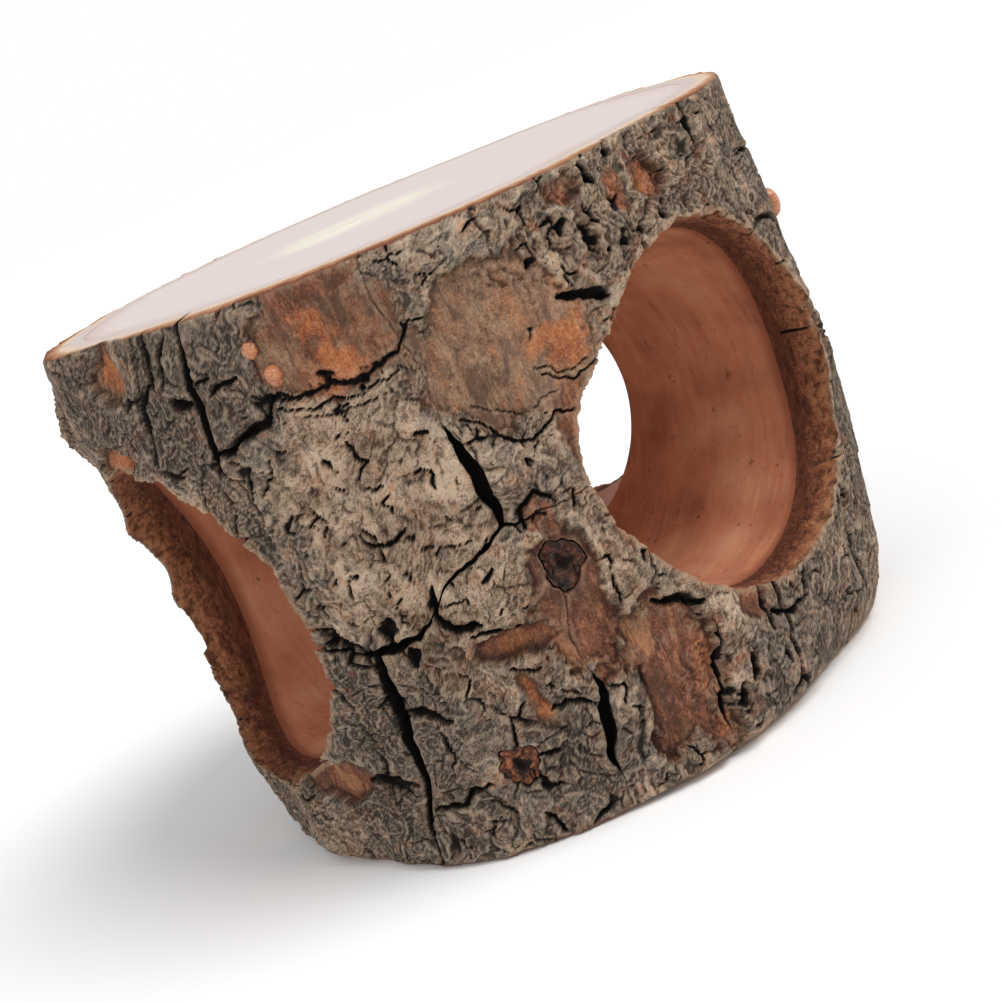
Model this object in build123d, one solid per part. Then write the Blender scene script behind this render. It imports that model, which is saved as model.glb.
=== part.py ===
from build123d import *
import os
from math import atan2, cos, degrees, exp, radians, sin

# Wooden hamster hideout: a short length of log with its bark on, sawn flat at both ends, and
# three round doorways bored in from the sides until they meet in the middle.
# The frame: +Z up, origin on the sawn base at the pith. A bearing is an angle in degrees round
# the log, seen from above: 0 is the front (-Y), 90 the right (+X), 180 the back, -90 the left.
# All sizes are in millimetres.

# The log, measured over the bark
log_height = 83.0
top_radius = 54.2
belly_radius = 53.2
belly_height = 40.0
base_radius = 50.6
# How far the outside stands proud of those mean radii, at even steps of bearing from the back on
outline_swell = [1.5, -0.8, 0.2, -1.5, 1.0, 1.6, -2.2, 0.0, -0.8, 0.8, -1.5, 2.2]
# The face of the bark is drawn through more points than the smooth shapes under it
face_points = 24
face_gaps = 6
# Lumps of the outer bark and, where they fall short of it, places where it has flaked off: bearing
# and height above the base, half width round the log, half height, and how far each stands proud
bark_lumps = [
    (-135, 72, 11, 6, 3.0), (-135, 42, 9, 8, 1.5), (-120, 5, 12, 8, -1.0), (-102, 82, 9, 8, -2.4),
    (-72, 2, 14, 8, 2.4), (-59, 75, 10, 9, 1.4), (-31, 46, 6, 13, -2.6), (-35, 80, 9, 9, 0.8),
    (0, 80, 9, 7, -2.0), (25, 42, 8, 14, 1.4), (40, 74, 9, 9, -1.4), (45, 32, 13, 13, 1.9),
    (66, 80, 8, 8, -1.2), (72, 22, 10, 12, 1.2), (100, 10, 12, 9, 1.4), (112, 80, 8, 7, -2.2),
    (136, 78, 8, 9, 2.0), (150, 24, 11, 12, -1.6), (155, 56, 10, 9, 1.2), (168, 78, 8, 9, 1.6),
    (180, 46, 10, 10, -1.4), (184, 10, 9, 10, 1.6), (200, 64, 9, 11, 1.4), (206, 28, 10, 12, 1.4),
]

# The bark
inner_bark_thickness = 2.0
outer_bark_thickness = 4.2

# The doorways: each is bored level from its bearing. Its axis lies this far to the right of the
# pith, seen from inside, and this far above the middle of the log's height.
doorway_diameter = 50.0
bored_past_pith = 3.0
front_door_bearing = 0.0
front_door_offset = -3.0
front_door_rise = 2.0
left_door_bearing = -107.0
left_door_offset = -3.0
left_door_rise = -2.5
right_door_bearing = 112.0
right_door_offset = 5.0
right_door_rise = 3.0

# One crack goes round the log from doorway to doorway. Its height above the middle of the log is
# given at bearings on its way, and it is this wide up and down.
crack_width = 1.0
crack_in_doorways = 1.0
crack_left_to_front = [(-84, -6), (-72, -9), (-64, -8), (-56, -2), (-47, 2), (-38, 2)]
crack_front_to_right = [(22, 3), (32, 4), (44, 6), (56, 4), (66, 2), (80, 4)]
crack_right_to_left = [(148, 1), (160, -2), (172, 2), (186, 5), (200, 3), (214, -2)]

# Fissures split the outer bark above and below the crack. Each is given as its bearing at the
# log's end and where it meets the crack or opens into a doorway.
fissure_width = 1.4
fissure_wander = 1.1
fissure_steps = 5
upper_fissures = [
    (-128, -124), (-80, -90), (-50, -47), (9, 11), (45, 41), (73, 77), (110, 114), (157, 161), (199, 202),
]
upper_plates = [
    "bark_over_left_door", "bark_upper_front_left", "bark_over_front_door", "bark_upper_front_right",
    "bark_upper_right", "bark_over_right_door", "bark_upper_back_right", "bark_upper_back",
    "bark_upper_back_left",
]
lower_fissures = [
    (-121, -116), (-76, -72), (-45, -42), (-27, -20), (16, 12), (44, 48), (79, 75), (123, 119), (163, 159),
    (203, 206),
]
lower_plates = [
    "bark_under_left_door", "bark_lower_front_left", "bark_lower_front_middle", "bark_under_front_door",
    "bark_lower_front_right", "bark_lower_right", "bark_under_right_door", "bark_lower_back_right",
    "bark_lower_back", "bark_lower_back_left",
]

# Dead knots, the stubs of branches that the log grew round, sunk a little under the bark's face.
# The low one's height is above the base, and the other's is above the middle of the log.
knot_sunk = 0.6
knot_length = 16.0
low_knot_diameter = 5.0
low_knot_bearing = -58.0
low_knot_height = 12.0
middle_knot_diameter = 5.5
middle_knot_bearing = -41.0
middle_knot_rise = -5.5

# Beads of dried resin: the bearing, depth below the sawn top and diameter of each. Each is a
# dome whose flat side is this clear of the bark.
resin_beads = [(-67, 10.5, 2.4), (-69, 6.5, 2.0), (30, 20.0, 2.8)]
bead_clearance = 0.25

# How far a slot or a bore is cut past the log's outside, and a slot past the bark's inside
cut_margin = 6.0

mid_height = log_height / 2
crack_start = (left_door_bearing, crack_in_doorways)
crack_front = (front_door_bearing, crack_in_doorways)
crack_right = (right_door_bearing, crack_in_doorways)
crack_end = (left_door_bearing + 360, crack_in_doorways)
crack_runs = [
    [crack_start, *crack_left_to_front, crack_front],
    [crack_front, *crack_front_to_right, crack_right],
    [crack_right, *crack_right_to_left, crack_end],
]
bark_thickness = inner_bark_thickness + outer_bark_thickness
cut_to = max(top_radius, belly_radius, base_radius) + max(outline_swell) + cut_margin
cut_from = min(top_radius, belly_radius, base_radius) + min(outline_swell) - outer_bark_thickness - cut_margin


def at(bearing, radius, height):
    """The point at a bearing, a radius from the pith and a height above the base."""
    return Vector(radius * sin(radians(bearing)), -radius * cos(radians(bearing)), height)


def bearing_of(point):
    """The bearing of a point."""
    return degrees(atan2(point.X, -point.Y))


def mean_radius(height):
    """The log's mean radius at a height, on a curve through the three given ones."""
    known = [(0, base_radius), (belly_height, belly_radius), (log_height, top_radius)]
    total = 0
    for own, radius in known:
        for other, _ in known:
            radius *= (height - other) / (own - other) if other != own else 1
        total += radius
    return total


def swell_at(bearing):
    """The outline's swell at a bearing, on a smooth curve through the given ones."""
    count = len(outline_swell)
    place = (bearing + 180) % 360 / 360 * count
    i, f = int(place), place % 1
    a, b, c, d = (outline_swell[(i + k) % count] for k in (-1, 0, 1, 2))
    return b + f / 2 * (c - a + f * (2 * a - 5 * b + 4 * c - d + f * (3 * (b - c) + d - a)))


def lumps_at(bearing, height):
    """How far the lumps stand proud at a bearing and a height."""
    total = 0
    for lump_bearing, lump_height, half_width, half_height, rise in bark_lumps:
        across = radians((bearing - lump_bearing + 180) % 360 - 180) * belly_radius / half_width
        up = (height - lump_height) / half_height
        total += rise * exp(-across * across - up * up)
    return total


def outline(height, depth, lumpy, count):
    """The log's cross-section at a height, this deep under its outside and with this many points, as a face."""
    points = []
    for i in range(count):
        bearing = i * 360 / count - 180
        radius = mean_radius(height) + swell_at(bearing) + lumpy * lumps_at(bearing, height) - depth
        points.append(at(bearing, radius, height))
    return make_face(Spline(*points, periodic=True))


def log_inside(depth):
    """All of the log that lies deeper than this under the outside of the bark. The lumps fade out on the way in."""
    lumpy = max(0, 1 - depth / outer_bark_thickness)
    count, gaps = (face_points, face_gaps) if lumpy else (len(outline_swell), 2)
    return loft([outline(log_height * i / gaps, depth, lumpy, count) for i in range(gaps + 1)])


def bore(bearing, offset, rise):
    """The space that one doorway takes out of the log."""
    outward = at(bearing, 1, 0)
    start = at(bearing + 90, offset, mid_height + rise) - outward * bored_past_pith
    align = (Align.CENTER, Align.CENTER, Align.MIN)
    return Plane(origin=start, z_dir=outward) * Cylinder(doorway_diameter / 2, cut_to + bored_past_pith, align=align)


def slot(stations, width, level):
    """A slot through the outer bark along its stations, level round the log or upright."""
    sections = []
    for bearing, height in stations:
        across = Vector(0, 0, width / 2) if level else at(bearing + 90, width / 2, 0)
        inner = at(bearing, cut_from, height)
        outer = at(bearing, cut_to, height)
        corners = [inner - across, outer - across, outer + across, inner + across]
        sections.append(Wire.make_polygon(corners, close=True))
    return Solid.make_loft(sections, ruled=True)


def crack_height(bearing):
    """The height of the crack at a bearing."""
    turned = (bearing - crack_start[0]) % 360 + crack_start[0]
    for run in crack_runs:
        for (b0, rise0), (b1, rise1) in zip(run, run[1:]):
            if b0 <= turned <= b1:
                return mid_height + rise0 + (rise1 - rise0) * (turned - b0) / (b1 - b0)


def fissure(edge_bearing, crack_bearing, edge_height):
    """A fissure from an end of the log through to the crack's far side, wandering to and fro on its way."""
    far_side = crack_width / 2 if edge_height < crack_height(crack_bearing) else -crack_width / 2
    end_height = crack_height(crack_bearing) + far_side
    stations = []
    for i in range(fissure_steps + 1):
        share = i / fissure_steps
        wander = fissure_wander * (-1) ** i if 0 < i < fissure_steps else 0
        height = edge_height + (end_height - edge_height) * share
        stations.append((edge_bearing + (crack_bearing - edge_bearing) * share + wander, height))
    # The slot runs past the log's end, so that it opens there
    stations[0] = (edge_bearing, edge_height + (cut_margin if edge_height else -cut_margin))
    return slot(stations, fissure_width, level=False)


def knot_core(bearing, height, diameter):
    """The round bar that a knot fills, level and pointing outwards."""
    outward = at(bearing, 1, 0)
    align = (Align.CENTER, Align.CENTER, Align.MAX)
    bar = Cylinder(diameter / 2, knot_length + cut_margin, align=align)
    return Plane(origin=at(bearing, surface_radius(bearing, height) + cut_margin, height), z_dir=outward) * bar


def surface_radius(bearing, height):
    """The radius of the bark's outside at a bearing and a height."""
    ray = Edge.make_line(at(bearing, 0, height), at(bearing, cut_to, height))
    return (ray & whole_log).length


def bead(bearing, depth, diameter):
    """A bead of resin, a dome that sits on the bark."""
    height = log_height - depth
    seat = at(bearing, surface_radius(bearing, height) + bead_clearance, height)
    align = (Align.CENTER, Align.CENTER, Align.MIN)
    return Plane(origin=seat, z_dir=at(bearing, 1, 0)) * Sphere(diameter / 2, arc_size1=0, align=align)


def named_plates(solids, names, first_bearing):
    """Pairs each plate with its name, in order round the log from the first fissure."""
    round_log = sorted(solids, key=lambda solid: (bearing_of(solid.center()) - first_bearing) % 360)
    return dict(zip(names, round_log, strict=True))


whole_log = log_inside(0)
under_plates = log_inside(outer_bark_thickness)
peeled_log = log_inside(bark_thickness)
bores = [
    bore(front_door_bearing, front_door_offset, front_door_rise),
    bore(left_door_bearing, left_door_offset, left_door_rise),
    bore(right_door_bearing, right_door_offset, right_door_rise),
]
low_knot_bar = knot_core(low_knot_bearing, low_knot_height, low_knot_diameter)
middle_knot_bar = knot_core(middle_knot_bearing, mid_height + middle_knot_rise, middle_knot_diameter)
knot_bars = [low_knot_bar, middle_knot_bar]

slots = [slot([(b, mid_height + rise) for b, rise in run], crack_width, level=True) for run in crack_runs]
slots += [fissure(edge, inner, log_height) for edge, inner in upper_fissures]
slots += [fissure(edge, inner, 0) for edge, inner in lower_fissures]

outer_bark = whole_log - under_plates - bores - knot_bars - slots
upper = [s for s in outer_bark.solids() if s.center().Z > crack_height(bearing_of(s.center()))]
lower = [s for s in outer_bark.solids() if s not in upper]

nodes = {
    "wood_core": peeled_log - bores - knot_bars,
    "inner_bark": under_plates - peeled_log - bores - knot_bars,
    **named_plates(upper, upper_plates, upper_fissures[0][0]),
    **named_plates(lower, lower_plates, lower_fissures[0][0]),
}
knot_face = log_inside(knot_sunk)
nodes["knot_low"] = (low_knot_bar & knot_face) - bores
nodes["knot_middle"] = (middle_knot_bar & knot_face) - bores
nodes["resin_beads"] = Compound([bead(*each) for each in resin_beads])

os.makedirs("parts", exist_ok=True)
for name, shape in nodes.items():
    export_step(shape, f"parts/{name}.step")
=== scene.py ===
"""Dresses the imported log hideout: its bark plates, inner bark, bored wood, dead knots and resin beads."""
from math import cos, pi, radians, sin

import bmesh
import bpy
import numpy as np
from bpy.props import FloatProperty, FloatVectorProperty, IntProperty, PointerProperty
from bpy.types import Operator, Panel, PropertyGroup
from mathutils import Matrix, Vector


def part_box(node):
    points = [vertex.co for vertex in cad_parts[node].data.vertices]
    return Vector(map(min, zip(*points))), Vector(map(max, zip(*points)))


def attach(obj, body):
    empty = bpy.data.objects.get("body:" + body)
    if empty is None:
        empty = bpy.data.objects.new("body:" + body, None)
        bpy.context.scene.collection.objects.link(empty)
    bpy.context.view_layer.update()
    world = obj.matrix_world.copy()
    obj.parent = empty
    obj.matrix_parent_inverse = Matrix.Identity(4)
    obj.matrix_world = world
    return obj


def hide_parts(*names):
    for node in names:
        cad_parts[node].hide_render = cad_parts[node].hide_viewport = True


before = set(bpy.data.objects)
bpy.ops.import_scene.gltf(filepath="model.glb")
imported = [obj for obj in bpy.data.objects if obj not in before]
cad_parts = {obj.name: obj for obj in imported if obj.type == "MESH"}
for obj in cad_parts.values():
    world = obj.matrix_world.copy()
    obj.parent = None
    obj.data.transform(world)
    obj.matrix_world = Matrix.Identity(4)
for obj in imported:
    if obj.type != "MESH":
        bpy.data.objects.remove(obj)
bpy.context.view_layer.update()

bl_info = {
    "name": "Log hideout",
    "version": (1, 0, 0),
    "blender": (4, 5, 0),
    "location": "View3D > Sidebar > Log",
    "description": "Bark, bored wood, knots and resin for a short log with three doorways",
    "category": "Add Mesh",
}

# Lengths are in millimetres and angles in degrees, until place() turns them into metres. A bearing
# goes round the log, seen from above: 0 is the front, 90 the right, 180 the back, -90 the left.
MM = 0.001
LOG_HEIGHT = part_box("wood_core")[1].z / MM
MIDDLE = LOG_HEIGHT / 2
GIRTH = 333.0

# The log's outside, as the CAD model has it
MEAN_RADIUS = ((0.0, 50.6), (40.0, 53.2), (LOG_HEIGHT, 54.2))
OUTLINE_SWELL = np.array([1.5, -0.8, 0.2, -1.5, 1.0, 1.6, -2.2, 0.0, -0.8, 0.8, -1.5, 2.2])
INNER_BARK = 2.0
OUTER_BARK = 4.2
THINNEST_BARK = 0.35
BARK = INNER_BARK + OUTER_BARK

# The doorways: bearing, how far the axis lies to the right of the pith, and its height
DOORS = {
    "front": (0.0, -3.0, MIDDLE + 2.0),
    "left": (-107.0, -3.0, MIDDLE - 2.5),
    "right": (112.0, 5.0, MIDDLE + 3.0),
}
BORED_PAST_PITH = 3.0
BORE_END = 64.0
# How far from the pith a bore's cutter starts where it only has bark to cut, and past which distance
# a point lies on the doorway's own side of the log
BARK_BORE_START = 34.0
OWN_SIDE = 20.0
FINEST_BORE = 0.28       # how close the rings of a bore's cutter come at most

# The crack that goes round the log: bearing and height above the middle
CRACK = [
    (-107, 1), (-84, -6), (-72, -9), (-64, -8), (-56, -2), (-47, 2), (-38, 2), (0, 1), (22, 3), (32, 4),
    (44, 6), (56, 4), (66, 2), (80, 4), (112, 1), (148, 1), (160, -2), (172, 2), (186, 5), (200, 3),
    (214, -2), (253, 1),
]

# The plates of outer bark, each with the fissure on its left: the fissure's bearing at the log's
# end and at the crack, and its half width at heights where it gapes. Elsewhere it is a hairline.
FISSURE_WANDER = 0.7
UPPER_PLATES = [
    ("bark_over_left_door", -128, -124, [(70, 0.1), (76, 0.5), (83, 0.3)]),
    ("bark_upper_front_left", -80, -90,
     [(61, 0.05), (64, 0.8), (69, 0.9), (74, 0.75), (79, 0.45), (83, 0.4)]),
    ("bark_over_front_door", -50, -47, [(43, 0.15), (45, 0.5), (49, 0.95), (54, 0.8), (57, 0.4), (59, 0.05)]),
    ("bark_upper_front_right", 9, 11, [(74, 0.05), (76, 0.35), (80, 0.6), (83, 0.3)]),
    ("bark_upper_right", 45, 41, [(52, 0.05), (58, 0.6), (66, 0.7), (72, 0.1)]),
    ("bark_over_right_door", 73, 77, [(66, 0.1), (72, 0.5), (83, 0.7)]),
    ("bark_upper_back_right", 110, 114, [(74, 0.1), (78, 0.45), (83, 0.2)]),
    ("bark_upper_back", 157, 161, [(45, 0.3), (52, 0.8), (60, 0.6), (68, 0.1), (78, 0.4)]),
    ("bark_upper_back_left", 199, 202, [(48, 0.1), (58, 0.5), (64, 0.9), (72, 0.7), (80, 0.1)]),
]
LOWER_PLATES = [
    ("bark_under_left_door", -121, -116, [(3, 0.5), (10, 0.3), (15, 0.1)]),
    ("bark_lower_front_left", -76, -72,
     [(2, 0.15), (6, 0.4), (12, 0.6), (18, 1.1), (27, 1.25), (31, 0.7), (34, 0.2)]),
    ("bark_lower_front_middle", -45, -42, [(6, 0.0), (8, 0.4), (12, 0.85), (16, 0.85), (19, 0.4), (21, 0.0)]),
    ("bark_under_front_door", -27, -20, [(4, 0.0), (8, 0.45), (11, 0.2), (14, 0.4), (18, 0.15), (20, 0.0)]),
    ("bark_lower_front_right", 16, 12, [(3, 0.2), (10, 0.5), (18, 0.3)]),
    ("bark_lower_right", 44, 48, [(2, 0.2), (10, 0.7), (18, 0.8), (26, 0.3), (34, 0.05)]),
    ("bark_under_right_door", 79, 75, [(2, 0.1), (12, 0.3), (24, 0.9), (33, 0.7), (40, 0.2)]),
    ("bark_lower_back_right", 123, 119, [(2, 0.6), (9, 0.5), (16, 0.1)]),
    ("bark_lower_back", 163, 159, [(4, 0.1), (14, 0.6), (22, 0.9), (30, 0.4)]),
    ("bark_lower_back_left", 203, 206, [(2, 0.3), (10, 0.8), (20, 0.5), (28, 0.05)]),
]
# Half width of the crack, up and down, where it gapes
CRACK_GAPES = [
    (-84, 0.1), (-80, 0.35), (-74, 0.3), (-69, 0.8), (-65, 0.6), (-60, 0.1), (-53, 0.35), (-45, 0.25),
    (-41, 0.05), (22, 0.1), (34, 0.5), (44, 0.3), (58, 0.05), (70, 0.5), (80, 0.2), (148, 0.1), (156, 0.6),
    (166, 0.3), (180, 0.05), (190, 0.5), (202, 0.3), (208, 0.0),
]
HAIRLINE = 0.03
FISSURE_RADIUS = 52.0    # where the fissures' half widths are measured

# Lumps of the outer bark and places where it has flaked off, as the CAD model has them: bearing,
# height, half width round the log, half height, and how far each stands proud
BARK_LUMPS = [
    (-135, 72, 11, 6, 3.0), (-135, 42, 9, 8, 1.5), (-120, 5, 12, 8, -1.0), (-102, 82, 9, 8, -2.4),
    (-72, 2, 14, 8, 2.4), (-59, 75, 10, 9, 1.4), (-31, 46, 6, 13, -2.6), (-35, 80, 9, 9, 0.8),
    (0, 80, 9, 7, -2.0), (25, 42, 8, 14, 1.4), (40, 74, 9, 9, -1.4), (45, 32, 13, 13, 1.9),
    (66, 80, 8, 8, -1.2), (72, 22, 10, 12, 1.2), (100, 10, 12, 9, 1.4), (112, 80, 8, 7, -2.2),
    (136, 78, 8, 9, 2.0), (150, 24, 11, 12, -1.6), (155, 56, 10, 9, 1.2), (168, 78, 8, 9, 1.6),
    (180, 46, 10, 10, -1.4), (184, 10, 9, 10, 1.6), (200, 64, 9, 11, 1.4), (206, 28, 10, 12, 1.4),
]
# Small knobs and chips of the bark's face: bearing, height, half width, half height and rise
KNOBS = [(-135.5, 44.5, 3.5, 4.0, -2.4), (-134, 53, 2.8, 2.2, 1.0), (74, 52, 3.0, 2.6, 1.0)]
# How far the bark's bottom edge is worn off, at bearings
WORN_FOOT = [
    (-180, 0.5), (-140, 1.2), (-112, 1.8), (-90, 0.1), (-50, 0.1), (-27, 1.9), (-10, 3.4), (5, 5.2),
    (16, 6.4), (32, 7.0), (50, 6.4), (60, 5.4), (72, 2.4), (95, 0.5), (130, 1.2), (155, 0.3), (180, 0.5),
]

# Cracks within the plates: half width, depth, and the bearing and height of each point
CRACKS = [
    (0.60, 2.4, [(-88, 84), (-90, 77), (-91, 76)]),
    (0.60, 2.2, [(-92, 76), (-95, 73), (-96, 69), (-97, 65)]),
    (0.55, 2.2, [(-88, 73), (-84, 72)]),
    (0.22, 1.2, [(-82, 74.5), (-78, 75)]),
    (0.28, 1.4, [(-79, 72.5), (-76, 73.5), (-73, 73.5)]),
    (0.50, 2.6, [(-69, 70), (-71, 67), (-77, 66), (-79, 64.5), (-83, 65)]),
    (0.26, 1.4, [(-78, 62), (-79, 60), (-81, 57)]),
    (0.20, 1.0, [(-62, 61.5), (-61, 59), (-60, 58)]),
    (0.25, 1.3, [(-65, 49), (-65, 47.5), (-61, 47), (-59, 48)]),
    (0.22, 1.2, [(-70, 44), (-71, 41), (-71, 39)]),
    (0.55, 2.4, [(-59, 39), (-60, 37), (-60, 35), (-59, 33), (-55, 32.5)]),
    (0.30, 1.2, [(-52, 38), (-50, 39)]),
    (0.30, 1.6, [(-82, 38), (-77, 37), (-76, 34), (-77, 32), (-73, 31)]),
    (0.25, 1.4, [(-57, 31.5), (-53, 31), (-50, 30)]),
    (0.22, 1.2, [(-54, 25), (-49, 24)]),
    (0.45, 2.0, [(-71, 23), (-68, 23), (-65, 21)]),
    (0.50, 2.2, [(-87, 13), (-83, 14), (-76, 12.5)]),
    (0.38, 1.8, [(-74, 9), (-69, 8.5), (-67, 10.5), (-63, 11)]),
    (0.30, 1.4, [(-55, 12.5), (-52, 12.5)]),
    (0.35, 1.6, [(-56, 10.5), (-55, 8), (-53, 7.5)]),
    (0.24, 1.2, [(-51, 17.5), (-48, 18.5), (-44, 17)]),
    (0.25, 1.4, [(-57, 5), (-56, 1.5)]),
    (0.20, 1.0, [(-64, 8.5), (-63, 7.5), (-61, 6.5)]),
    (0.26, 1.2, [(-82, 28), (-81, 25)]),
    (0.60, 2.2, [(-17, 81.5), (-16, 79)]),
    (0.30, 1.6, [(-12, 20), (-13, 16), (-13, 13)]),
    (0.45, 2.0, [(-1, 17.5), (-3, 14)]),
    (0.60, 2.2, [(-31, 26), (-27, 24.5), (-24, 22.5)]),
    (0.55, 2.2, [(-19, 12), (-20, 9)]),
    (0.30, 1.4, [(-12, 10), (-12, 7.5)]),
    (0.70, 0.5, [(-37, 18), (-39, 13), (-41, 7)]),
    (0.60, 2.4, [(-28, 68), (-25, 67), (-21, 65.5)]),
    (0.24, 1.1, [(-72, 70.5), (-67, 69), (-61, 68.5), (-55, 68.5), (-50, 70), (-48, 73)]),
    (0.20, 0.9, [(-69, 68), (-63, 67), (-57, 66.5), (-51, 67.5)]),
    (0.16, 0.7, [(-66, 66), (-60, 65), (-54, 65)]),
    (0.22, 1.0, [(-46, 59), (-43, 56), (-41, 53.5), (-38, 52.5), (-34, 54.5), (-31, 53.5)]),
    (0.14, 0.5, [(-44, 60), (-41, 57.5), (-38, 56), (-35, 57), (-32, 56.5)]),
    (0.18, 0.8, [(-34, 59.5), (-30, 57.5), (-26, 58), (-24, 60)]),
    (0.14, 0.6, [(-35, 61), (-31, 59), (-27, 59)]),
    (0.34, 1.3, [(-44.5, 42.5), (-43.5, 45), (-41, 46), (-39, 44.5)]),
    (0.20, 0.8, [(-43, 43), (-41.5, 44), (-40.5, 43)]),
]
# Pits and hollows: bearing, height, radius and depth
PITS = [
    (-68, 35.5, 1.7, 2.6), (-66, 31, 1.4, 2.4), (-78, 35, 1.3, 3.0), (-10, 81.5, 0.9, 2.6),
    (-2, 76, 1.1, 2.2), (-15, 70.5, 0.9, 2.2), (-10, 70, 0.9, 2.4), (-30, 73, 0.9, 2.0),
    (-18, 70, 0.8, 2.2), (16, 20.5, 0.8, 2.0), (-60, 69, 1.6, 2.2), (-56, 68.5, 1.2, 2.0),
    (-24, 8, 1.5, 2.4), (-24, 76, 1.0, 2.0), (-13, 75, 0.9, 1.8), (-21, 73, 1.2, 2.2), (-5, 71, 1.0, 2.0),
    (95, 8, 1.4, 2.4), (174, 62, 1.5, 2.4), (198, 50, 1.3, 2.2), (61, 28, 1.4, 2.4), (58, 74, 1.1, 2.0),
    (143, 9, 1.2, 2.2), (-33, 65, 0.7, 1.2),
]
# Places where scales have flaked off, down to fresher bark: bearing, height, half width, half
# height, depth, and how orange and how rust-red the bare patch is
BARE = [
    (-59, 75.5, 9.5, 7.5, 0.5, 0.0, 0.6), (-58, 73.5, 4.8, 6.8, 0.5, 0.9, 0.8),
    (-58, 81.5, 6.5, 2.6, 0.5, 0.0, 1.0), (-30, 62.5, 6.0, 4.6, 0.6, 1.0, 0.0),
    (-42, 31, 4.8, 10.0, 1.0, 0.0, 1.0), (-51, 28.5, 5.4, 2.2, 1.5, 0.4, 0.9),
    (-52, 20.5, 1.6, 3.6, 0.8, 0.9, 0.2), (-32, 15, 6.2, 12.0, 1.5, 0.0, 1.0),
    (-27, 12, 2.2, 8.5, 1.5, 0.45, 0.1), (-4, 75.5, 4.2, 3.0, 0.9, 0.6, 0.9),
    (-37, 65.5, 11.5, 11.0, 0.5, 0.12, 0.12), (-103, 78, 4.5, 4.0, 1.0, 0.8, 0.4),
    (-109, 66.5, 6.0, 2.4, 1.2, 0.8, 0.5), (-21, 80, 3.4, 2.2, 0.7, 0.3, 0.9),
    (-31, 51, 2.8, 6.5, 0.5, 0.2, 0.8), (-93, 14, 7.0, 3.6, 1.6, 0.1, 0.9),
    (-30, 38, 2.2, 4.0, 0.6, 0.5, 0.6), (28, 47, 3.0, 9.0, 0.8, 0.4, 0.8),
    (62, 46, 6.0, 9.0, 1.4, 0.5, 0.7), (97, 76, 6.5, 3.6, 1.2, 0.9, 0.3),
    (150, 66, 5.5, 7.5, 1.4, 0.2, 1.0), (181, 24, 7.5, 9.0, 1.6, 0.8, 0.4),
    (213, 61, 4.0, 8.5, 1.2, 0.3, 1.0), (131, 10, 7.0, 3.8, 1.4, 0.3, 1.0),
    (222, 9, 5.0, 4.0, 1.1, 0.9, 0.3), (176, 73, 6.0, 4.0, 1.0, 0.7, 0.3),
    (52, 14, 4.0, 5.5, 1.1, 0.1, 1.0), (88, 20, 3.0, 5.0, 1.0, 0.8, 0.4),
    (-41.5, 43, 2.6, 2.8, 0.6, 0.0, 1.0), (-15, 20, 3.0, 4.6, 0.7, 0.3, 0.9),
    (-12, 76, 2.6, 3.4, 0.6, 0.5, 0.9), (-141, 33, 3.6, 4.4, 0.3, 0.1, 0.6),
]
# The bark's kinds, which give way to one another: bearing, height, half width and half height
FLAT_PLATES = [
    (-84, 74, 17, 12), (-77, 17, 15, 15), (30, 30, 9, 16), (-48, 10, 7, 9), (-8, 9, 12, 9),
    (35, 66, 12, 14), (70, 60, 9, 12), (105, 8, 14, 9), (150, 38, 12, 12), (195, 70, 14, 11),
    (180, 10, 12, 8), (215, 30, 9, 14), (48, 36, 14, 16), (-108, 74, 10, 9), (-58, 12, 9, 10),
]
CURLED_SCALES = [
    (-62, 52, 12, 12), (-56, 37, 8, 7), (-66, 29, 6, 6), (-20, 25, 8, 4), (165, 52, 12, 9),
    (203, 46, 9, 8), (85, 74, 9, 7), (40, 18, 9, 8), (128, 74, 8, 6), (146, 18, 8, 8),
]
CHUNKY_CRUST = [
    (-17, 74, 17, 9), (-62, 32, 5, 5), (5, 72, 8, 9), (-24, 12, 6, 9), (60, 76, 9, 7), (108, 77, 12, 5),
    (190, 36, 10, 7), (136, 76, 8, 6), (222, 70, 7, 9), (25, 26, 8, 8),
]

# Dead knots: node, bearing, height and radius
KNOTS = [("knot_low", -58.0, 12.0, 2.5), ("knot_middle", -41.0, MIDDLE - 5.5, 2.75)]
KNOT_REACH = 3.5
KNOT_DEPTH = 13.0
SOCKET_DEPTH = 14.0
# Beads of resin: bearing, height, and how wide and how tall
BEADS = [
    (-67, LOG_HEIGHT - 10.5, 2.5, 2.9), (-69, LOG_HEIGHT - 6.5, 2.1, 2.4), (30, LOG_HEIGHT - 20.0, 2.8, 4.2),
]


# Numbers over the log's surface

def step(low, high, value):
    """0 below low, 1 above high and smooth between. It falls instead if high is the lower."""
    share = np.clip((value - low) / (high - low), 0.0, 1.0)
    return share * share * (3.0 - 2.0 * share)


def mix(a, b, share):
    return a + (b - a) * share


LATTICE_ROWS = 512


def lattice(seed, columns, depth):
    """Random numbers on a lattice that closes on itself round the log."""
    return np.random.default_rng(seed).random((LATTICE_ROWS, columns, depth))


def lattice_place(turn, height, cell, stretch, girth):
    """Where a point lies on a lattice of cells this wide: whole and remaining columns and rows."""
    columns = max(4, round(girth / cell))
    across = turn * columns
    up = height / (cell * stretch) + LATTICE_ROWS / 4
    column, row = np.floor(across).astype(int), np.floor(up).astype(int)
    return columns, column, row, across - column, up - row


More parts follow.
